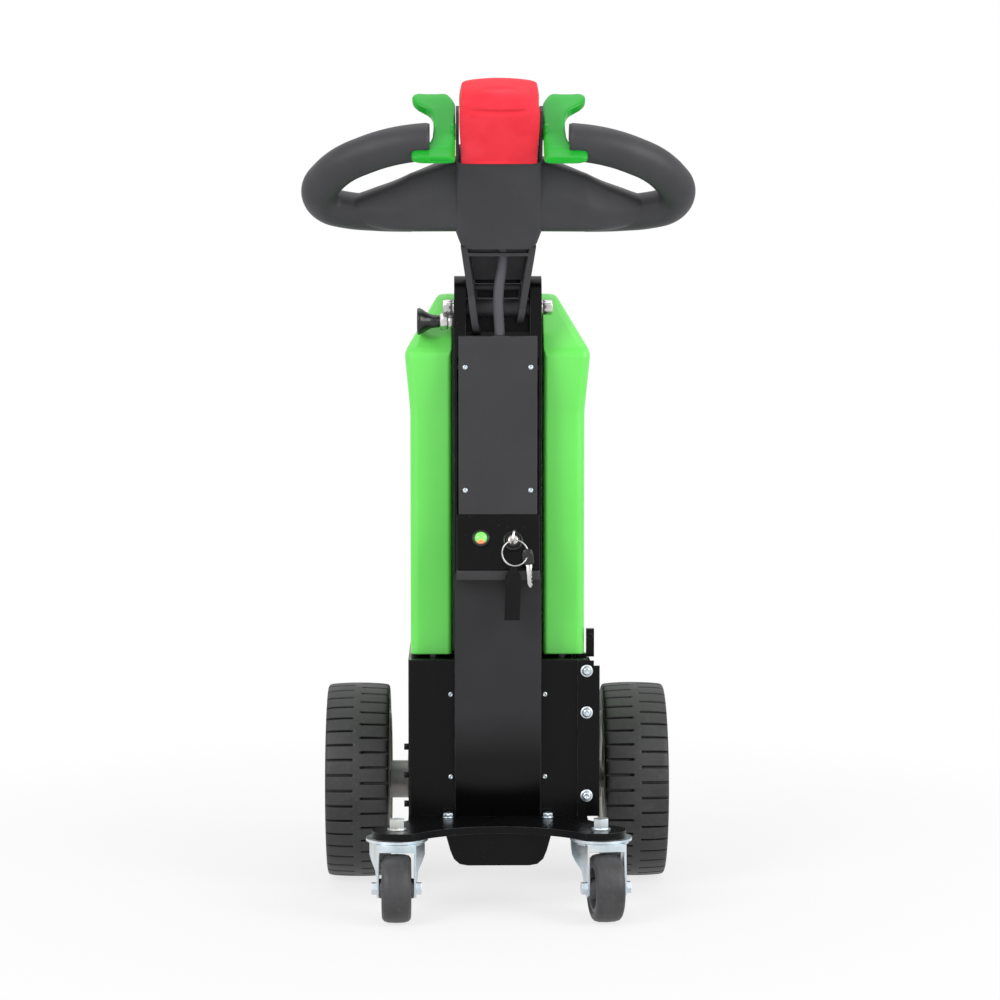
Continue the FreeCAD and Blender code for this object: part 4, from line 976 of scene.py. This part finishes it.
def control_cable():
    """Closed tube through the points, on no body, with its place baked into the mesh."""
    shape = closed_stack(cable_rings())
    piece = add_piece("tiller_cable", "cable_grey", [shape], "control_cable", body=None)
    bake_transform(piece)


control_cable()

# %% [markdown]
# ## Screw and bolt heads
#
# Each fastener stands exactly where its plain solid does, whose box gives its seat and its size.
# Button screws get a domed head with a six-sided socket, hexagon heads a chamfer and a washer.

# %% Fasteners
NEAR, FAR, UP = (0.0, -1.0, 0.0), (0.0, 1.0, 0.0), (0.0, 0.0, 1.0)
LEFT, RIGHT = (-1.0, 0.0, 0.0), (1.0, 0.0, 0.0)
WASHER = 1.6
LONG_SCREW = 4.0
PIVOT_HEAD = 15.6
BUTTON = (
    (0, 0.98), (0.2, 1), (0.55, 0.92), (0.85, 0.74), (1, 0.56), (1, 0.46, 1), (0.35, 0.44, 1),
    (0.35, 0.05),
)
CAP = ((0, 4.4), (0.3, 4.5), (6.4, 4.5), (7, 4), (7, 2.4, 1), (3.5, 2.3, 1), (3.5, 0.2))


def button(radius, height, low=0.0):
    """Outline of a button head with a hexagon socket, from its seat outward."""
    return [(low + height * row[0], radius * row[1], *row[2:]) for row in BUTTON]


def hex_head(half_flats, high):
    """Outline of a hexagon head over a washer, with the round chamfer on its top."""
    return (
        (WASHER, half_flats * 0.97, 1), (WASHER + 0.4, half_flats, 1), (high - 1.2, half_flats, 1),
        (high - 0.5, half_flats * 1.02), (high, half_flats * 0.90), (high, half_flats * 0.1),
    )


def rod(radius, length):
    """Outline of a plain rod with both rims broken."""
    rim = radius - 0.4
    return (0.0, rim), (0.4, radius), (length - 0.4, radius), (length, rim)


def on_washer(seat, axis, radius, head, sides=(40, 48)):
    """Washer with broken edges and that radius on the seat, and the head over it."""
    flat = (
        (0.0, radius * 0.97), (0.25, radius), (WASHER - 0.25, radius), (WASHER, radius * 0.97),
        (WASHER, radius * 0.4),
    )
    return [turned(seat, axis, flat, sides[0]), turned(seat, axis, head, sides[1])]


def seats(node, axis):
    """For each solid: the middle of the face that the axis points away from, and its size."""
    for low, high in islands(node):
        size = (high - low) / MM
        middle = (low + high) / 2.0 / MM
        yield middle - np.array(axis) * (np.abs(axis) @ size) / 2.0, size


def mast_screws():
    """Button heads on the covers and the box, and two hexagon bolts standing on the plate."""
    shapes = []
    for (seat, size), (foot, _) in zip(seats("cover_screws", NEAR), seats("cover_screws", UP)):
        if size[1] < LONG_SCREW:
            shapes.append(turned(seat, NEAR, button(size[2] / 2.0 + 0.2, size[1] + 0.3), 36))
        else:
            shapes += on_washer(foot, UP, 8.0, hex_head(6.5, size[2]), (36, 48))
    add_piece("mast_screw_heads", "zinc", shapes, "cover_screws")


def flange_bolts():
    """Button heads on washers down the angle bracket, hexagon heads round the jaw's flange."""
    shapes = []
    for seat, _ in seats("bracket_bolts", NEAR):
        shapes += on_washer(seat, NEAR, 8.5, button(6.4, 5.0, WASHER), (40, 40))
    add_piece("bracket_screw_heads", "zinc", shapes, "bracket_bolts")
    shapes = []
    for seat, size in seats("hitch_bolts", FAR):
        shapes += on_washer(seat, FAR, size[0] / 2.0, hex_head(8.5, size[1]))
    add_piece("jaw_bolt_heads", "zinc", shapes, "hitch_bolts")


def motor_screws():
    """Black cap screws in a row on each side of the box."""
    shapes = []
    for axis in (LEFT, RIGHT):
        here = [seat for seat, _ in seats("motor_bolts", axis) if seat[0] * axis[0] > 0.0]
        shapes += [turned(seat, axis, CAP, 36) for seat in here]
    add_piece("motor_screw_heads", "frame_black", shapes, "motor_bolts")


def pivot_heads():
    """Hexagon head and nut on washers at the ends of the tiller's pivot bolt, and its shank."""
    low, high, middle = box_of("pivot_bolt")
    shapes = []
    for axis in (LEFT, RIGHT):
        seat = middle + np.array(axis) * (high[0] - PIVOT_HEAD)
        shapes += on_washer(seat, axis, 10.5, hex_head(9.0, PIVOT_HEAD))
    length = high[0] - low[0] - 30.0
    shapes.append(turned(middle - (length / 2.0, 0.0, 0.0), RIGHT, rod(8.0, length), 40))
    add_piece("pivot_bolt_heads", "steel", shapes, "pivot_bolt")


mast_screws()
flange_bolts()
motor_screws()
pivot_heads()

# %% [markdown]
# ## Locking plunger
#
# A pull knob on the left ear locks the tiller; here it is drawn back. It is turned: a waisted black
# knob with a wide flange for the fingers, on a bright hexagon body that is screwed into the ear.

# %% Locking plunger
EAR_FACE = -60.0
KNOB = (
    (0, 7.4), (0.3, 8.3), (4, 8.6), (9, 9.2), (14, 10.8), (19, 13.6), (23.5, 16.8), (26.5, 18.3),
    (28.6, 18.7), (30.2, 18.2), (31, 16.8), (31, 12), (30.2, 10.5), (30, 0.5),
)
KNOB_BODY = (
    (0, 9), (0.3, 9.6), (7.4, 9.6), (8, 9), (8, 8.4), (8.6, 9.4, 1), (9.2, 9.8, 1), (18.4, 9.8, 1),
    (19.2, 9.6), (19.6, 7.8), (22, 6.8), (22.2, 0.5),
)


def turned_piece(name, slot, place, axis, outline, *stands_for, sides=72):
    """One turned shape as a piece of the chassis."""
    add_piece(name, slot, [turned(place, axis, outline, sides)], *stands_for)


def plunger_pieces():
    """Trumpet-shaped knob and the hexagon body it slides in, turned about x."""
    _, (inner, _, _), (_, y, z) = box_of("plunger_knob")
    turned_piece("plunger_grip", "knob_black", (inner, y, z), LEFT, KNOB, "plunger_knob")
    tip = box_of("plunger_body")[1][0]
    shapes = [
        turned((EAR_FACE, y, z), LEFT, KNOB_BODY, 60), turned((tip, y, z), LEFT, rod(5.0, 16.0), 36)
    ]
    add_piece("plunger_sleeve", "steel", shapes, "plunger_body")


plunger_pieces()

# %% [markdown]
# ## Switch panel
#
# The panel is a folded wedge between the two covers. Its sloping face carries the lamp and the
# lock, and a satin lip under it stands out over the lower cover. Higher up, the sheet behind the
# arm ends in a rolled edge, which is a bar like the wedge.

# %% Switch panel
PANEL_LOW, PANEL_HIGH, _ = box_of("switch_housing")
PANEL_FOOT = PANEL_LOW[2] + 2.2
PANEL_RISE = PANEL_HIGH[2] - PANEL_FOOT
PANEL_RUN = PANEL_HIGH[1] - 3.0 - PANEL_LOW[1]
PANEL_HALF = 57.0
LAMP_BEZEL = (
    (-0.5, 12.6), (0.6, 13), (2, 12.6), (3.5, 11.5), (4.2, 10.5), (4.1, 9.8), (3, 9.3), (1, 9.1),
)
LAMP_LENS = ((0.9, 9), (3, 8.8), (4.3, 8.1), (5.6, 6.6), (6.4, 4.6), (6.8, 2.4), (6.9, 0.3))
LOCK_X, LOCK_Z = 20.5, 504.0
LOCK_RING = (
    (-0.5, 14), (0.8, 14.4), (2.4, 14), (3.8, 12.9), (4.4, 11.6), (4, 10.8), (2, 10.4), (1.6, 9.9),
    (5.6, 9.6), (6.8, 9), (7.1, 7.9), (6.4, 7.2),
)
LOCK_FACE = ((6, 7), (7.4, 6.8), (8, 6.2), (8.1, 3), (7.6, 2.6), (7.6, 0.3))


def drawn_in(ring, insets):
    """The ring once for each inset, its points moved that far towards its mean point."""
    middle = ring.mean(axis=0)
    reach = np.linalg.norm(ring - middle, axis=1)[:, None]
    return middle + (ring - middle) * (1.0 - np.array(insets)[:, None, None] / reach)


def bar_along_x(corners, half, radius):
    """Outline in y and z carried along x from -half to half, its ends drawn in by a bevel."""
    yz = drawn_in(rounded_ring(corners, radius, 5), (0.9, 0.3, 0.0, 0.0, 0.3, 0.9))
    x = np.array([-half, 0.3 - half, 1.0 - half, half - 1.0, half - 0.3, half])
    return closed_stack(np.concatenate([x[:, None, None] + 0.0 * yz[..., :1], yz], axis=2))


def panel_point(x, z):
    """Point of the sloping face and its outward direction."""
    y = PANEL_LOW[1] + PANEL_RUN * (z - PANEL_FOOT) / PANEL_RISE
    return np.array([x, y, z]), unit(np.array([0.0, -PANEL_RISE, PANEL_RUN]))


def switch_panel():
    """Sloping wedge in gloss black over a satin lip, and the rolled edge behind the arm."""
    (_, near, low), (_, far, top) = PANEL_LOW, PANEL_HIGH
    back = near + 19.7
    wedge = (
        (far, low + 3.0), (back, low + 2.3), (near + 1.0, low + 2.3), (near, low + 3.4),
        (far - 3.2, top - 0.3), (far - 2.4, top), (far, top),
    )
    bar = bar_along_x(wedge, PANEL_HALF, 1.2)
    add_piece("switch_panel", "frame_black", [bar], "switch_housing")
    edge = near - 0.6
    lip = ((back, low - 11.3), (edge, low - 11.3), (edge, low + 2.0), (back, low + 2.0))
    add_piece("switch_panel_lip", "mast_grey", [bar_along_x(lip, PANEL_HALF, 1.4)])
    hem = ((-37.6, 854.0), (-33.8, 854.0), (-33.8, 866.4), (-37.6, 866.4))
    add_piece("shield_hem", "frame_black", [bar_along_x(hem, 59.4, 1.7)])


def panel_fittings():
    """Domed lens in a black bezel and bright lock in a black ring, turned about the outward way."""
    x, _, z = box_of("lamp_bezel")[2]
    point, out = panel_point(x, z)
    turned_piece("lamp_ring", "knob_black", point + UP, out, LAMP_BEZEL, "lamp_bezel")
    turned_piece("lamp_dome", "lens_green", point + UP, out, LAMP_LENS, "lamp_lens")
    point, out = panel_point(LOCK_X, LOCK_Z)
    turned_piece("lock_ring", "knob_black", point, out, LOCK_RING, "key_switch")
    turned_piece("lock_face", "steel", point, out, LOCK_FACE, sides=60)


switch_panel()
panel_fittings()

# %% [markdown]
# ## Keys and strap
#
# The key in the lock holds a split ring, which carries a spare key and a folded strap of webbing.
# They hang down as loose things do, and stay clear of the mast.

# %% Keys and strap
RING_R = 17.5
WIRE_R = 0.95
KEY_REACH = 23.0
KEY_BOW = (
    (-9.5, 12), (-10.5, 20), (-6.5, 29), (6.5, 29), (10.5, 20), (9.5, 12), (3.4, 10), (3.4, 7),
    (-3.4, 7), (-3.4, 10),
)
SPARE_BOW = ((-7.6, -18.5), (-8, -5), (-5.5, 3.4), (5.5, 3.4), (8, -5), (7.6, -18.5))
KEY_BLADE = (
    (-3.6, 2), (-3.6, -27), (-1.6, -31), (0.6, -32), (1.8, -29.5), (3.4, -28), (1.9, -25.6),
    (3.5, -23.4), (2.3, -20.6), (2.3, -19), (3.7, -16.8), (2.7, -14.4), (3.9, -12), (3.9, -5),
    (4.6, -3), (4.6, 2),
)


def slab(outline, thick, origin, first, second, bevel=0.35):
    """Flat outline given in the directions first and second, with thickness and bevelled rims."""
    flat = drawn_in(np.array(outline), (bevel, 0.0, 0.0, bevel))
    height = np.array([0.0, bevel, thick - bevel, thick])[:, None, None] - thick / 2.0
    normal = np.cross(first, second)
    return closed_stack(origin + flat[..., :1] * first + flat[..., 1:] * second + height * normal)


def wire_ring(centre, first, second):
    """Wire bent to a circle in the plane of first and second."""
    u = circle(96)[:, None, None]
    v = circle(14)[None, :, None]
    out = (np.cos(u) * first + np.sin(u) * second) * (RING_R + WIRE_R * np.cos(v))
    return wrapped_stack(centre + out + np.cross(first, second) * WIRE_R * np.sin(v))


def key_pieces():
    """Key in the lock, split ring, and the spare key with its black plastic bow."""
    point, out = panel_point(LOCK_X, LOCK_Z)
    turn = math.radians(-8.0)
    wide = np.cross(RIGHT, out) * math.cos(turn) + np.array(RIGHT) * math.sin(turn)
    eye = point + out * KEY_REACH + wide * 6.5
    centre = eye + np.array([0.16, 0.0, -0.987]) * (RING_R - 0.6)
    ring_x, ring_z = np.array(RIGHT), np.array([0.0, 0.10, 0.995])
    hang = math.radians(8.0)
    hook = ring_x * RING_R * math.cos(hang) + ring_z * RING_R * math.sin(hang)
    place = centre + hook + NEAR
    lean = math.radians(5.0)
    right = np.array([math.cos(lean), 0.0, math.sin(lean)])
    rise = np.array([-math.sin(lean), 0.0, math.cos(lean)])
    shapes = [
        slab(rounded_ring(KEY_BOW, 3.0), 3.0, point, wide, out),
        wire_ring(centre, ring_x, ring_z),
        wire_ring(centre + (0.4, -1.7, 0.3), ring_x, ring_z),
        slab(KEY_BLADE, 2.0, place - rise * 18.0, right, rise),
    ]
    add_piece("key_set", "steel", shapes, "keys")
    bow = slab(rounded_ring(SPARE_BOW, 3.6), 5.0, place, right, rise, 1.2)
    add_piece("spare_key_bow", "knob_black", [bow])
    return centre


def strap_line(top):
    """Middle line of the webbing: up its near run, over the ring, down its far run."""
    near = np.linspace(-73.5, -4.0, 60)
    turn = np.linspace(-0.5 * math.pi, 0.5 * math.pi, 15)[1:-1]
    far = np.linspace(-4.0, -72.5, 60)
    bow = 1.9 + 1.3 * np.sin(np.clip((near + 73.5) / 69.5, 0.0, 1.0) * math.pi)
    y = np.concatenate([-bow, 2.0 * np.sin(turn), 1.9 + 0.0 * far])
    z = np.concatenate([near, -4.0 + 5.4 * np.cos(turn), far])
    return np.stack([-0.028 * np.abs(z), y, z], axis=1) + top


def key_strap(ring_centre):
    """Webbing 21 mm wide and 1.2 mm thick, folded over the ring and gathered where it crosses."""
    top = ring_centre - np.array([1.6, 0.0, RING_R + 0.6])
    line = strap_line(top)
    normal = np.cross(unit(np.gradient(line, axis=0)), RIGHT)[:, None]
    depth = (top[2] - line[:, 2])[:, None]
    half = 4.2 + 6.3 * smooth(depth, 0.0, 15.0)
    hem = 0.6 + 0.35 * smooth(depth, 68.1, 68.7)
    square = ((-1.0, -1.0), (1.0, -1.0), (1.0, 1.0), (-1.0, 1.0))
    wide, high = rounded_ring(square, 0.06, 4).T
    fold = 1.2 * (1.0 - smooth(depth, 0.0, 20.0)) * np.cos(wide * 4.5)
    side_way = (half * wide)[..., None] * RIGHT
    rings = line[:, None] + side_way + (hem * high + fold)[..., None] * normal
    piece = add_piece("key_tag", "strap_black", [closed_stack(rings)], "key_strap")


key_strap(key_pieces())

# %% [markdown]
# ## Floor, light and sky
#
# The tug stands on white with only a soft shadow under its wheels. A floor lit by lamps would come
# out grey at its far end. So its paint mixes a white glow with a matt white that takes the shadow,
# and the share of the glow grows away from the tug. Only rays of the camera, of gloss and of glass
# see the glow, so it throws no light on the tug.

# %% Floor and backdrop
WHITE = (255, 255, 255)
FLOOR_R = 9.0
NEAR_GLOW = 0.755


def ray_share(f, *kinds):
    """1 for rays of those kinds, 0 for light that bounces off matt faces."""
    return sum(f.node("LightPath", "Is " + kind + " Ray") for kind in kinds).clamped()


def floor_paint():
    """Matt pale floor that fades to plain white away from the tug."""
    f = Finish("floor_paint")
    x = f.along("X") / 1.25
    y = (f.along("Y") - 0.05) / 1.5
    away = (x * x + y * y).math("SQRT")
    fade = NEAR_GLOW + away.between(0.30, 1.0) * (1.0 - NEAR_GLOW)
    share = (fade * ray_share(f, "Camera", "Glossy", "Transmission")).clamped()
    glow = f.node("Emission", 0, {"Color": WHITE, "Strength": 1.0})
    f.set(Base_Color=(246, 246, 246), Roughness=0.9, Specular_IOR_Level=0.0)
    both = f.node("MixShader", 0, {0: share, 1: Wire(f, f.shader.outputs[0]), 2: glow})
    f.feed(f.tree.nodes["Material Output"].inputs["Surface"], both)
    return f.made


def floor_sheet():
    """Disc of FLOOR_R metres at the height of the wheels' lowest point."""
    angle = circle(64)
    height = np.full(64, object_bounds()[0][2])
    rim = np.stack([FLOOR_R * np.cos(angle), FLOOR_R * np.sin(angle), height], axis=1)
    piece = mesh_object("floor", rim, [list(range(64))], floor_paint())


floor_sheet()


# %% Lamps
SKY_LIGHT = 0.42


def soft_box(name, place, aim, size, power):
    """Square area lamp that faces the tug's middle line at the height aim."""
    data = bpy.data.lights.new(name, "AREA")
    data.size = size
    data.energy = power
    lamp = linked(name, data)
    lamp.location = place
    way = Vector((0.0, 0.0, aim)) - Vector(place)
    lamp.rotation_euler = way.to_track_quat("-Z", "Y").to_euler()


def sky():
    """White where the camera or a mirror looks, a dimmer white as a light."""
    f = Finish("sky", bpy.data.worlds.new("sky"), "Background")
    strength = SKY_LIGHT + ray_share(f, "Camera", "Glossy") * (1.0 - SKY_LIGHT)
    bpy.context.scene.world = f.set(Color=WHITE, Strength=strength)


soft_box("key_left", (-2.4, -2.6, 2.5), 0.6, 1.8, 66.0)
soft_box("fill_right", (2.6, -1.8, 1.9), 0.5, 1.8, 54.0)
soft_box("top", (0.0, 0.4, 3.2), 0.4, 2.2, 16.0)
sky()
bpy.context.scene.view_settings.view_transform = "Standard"
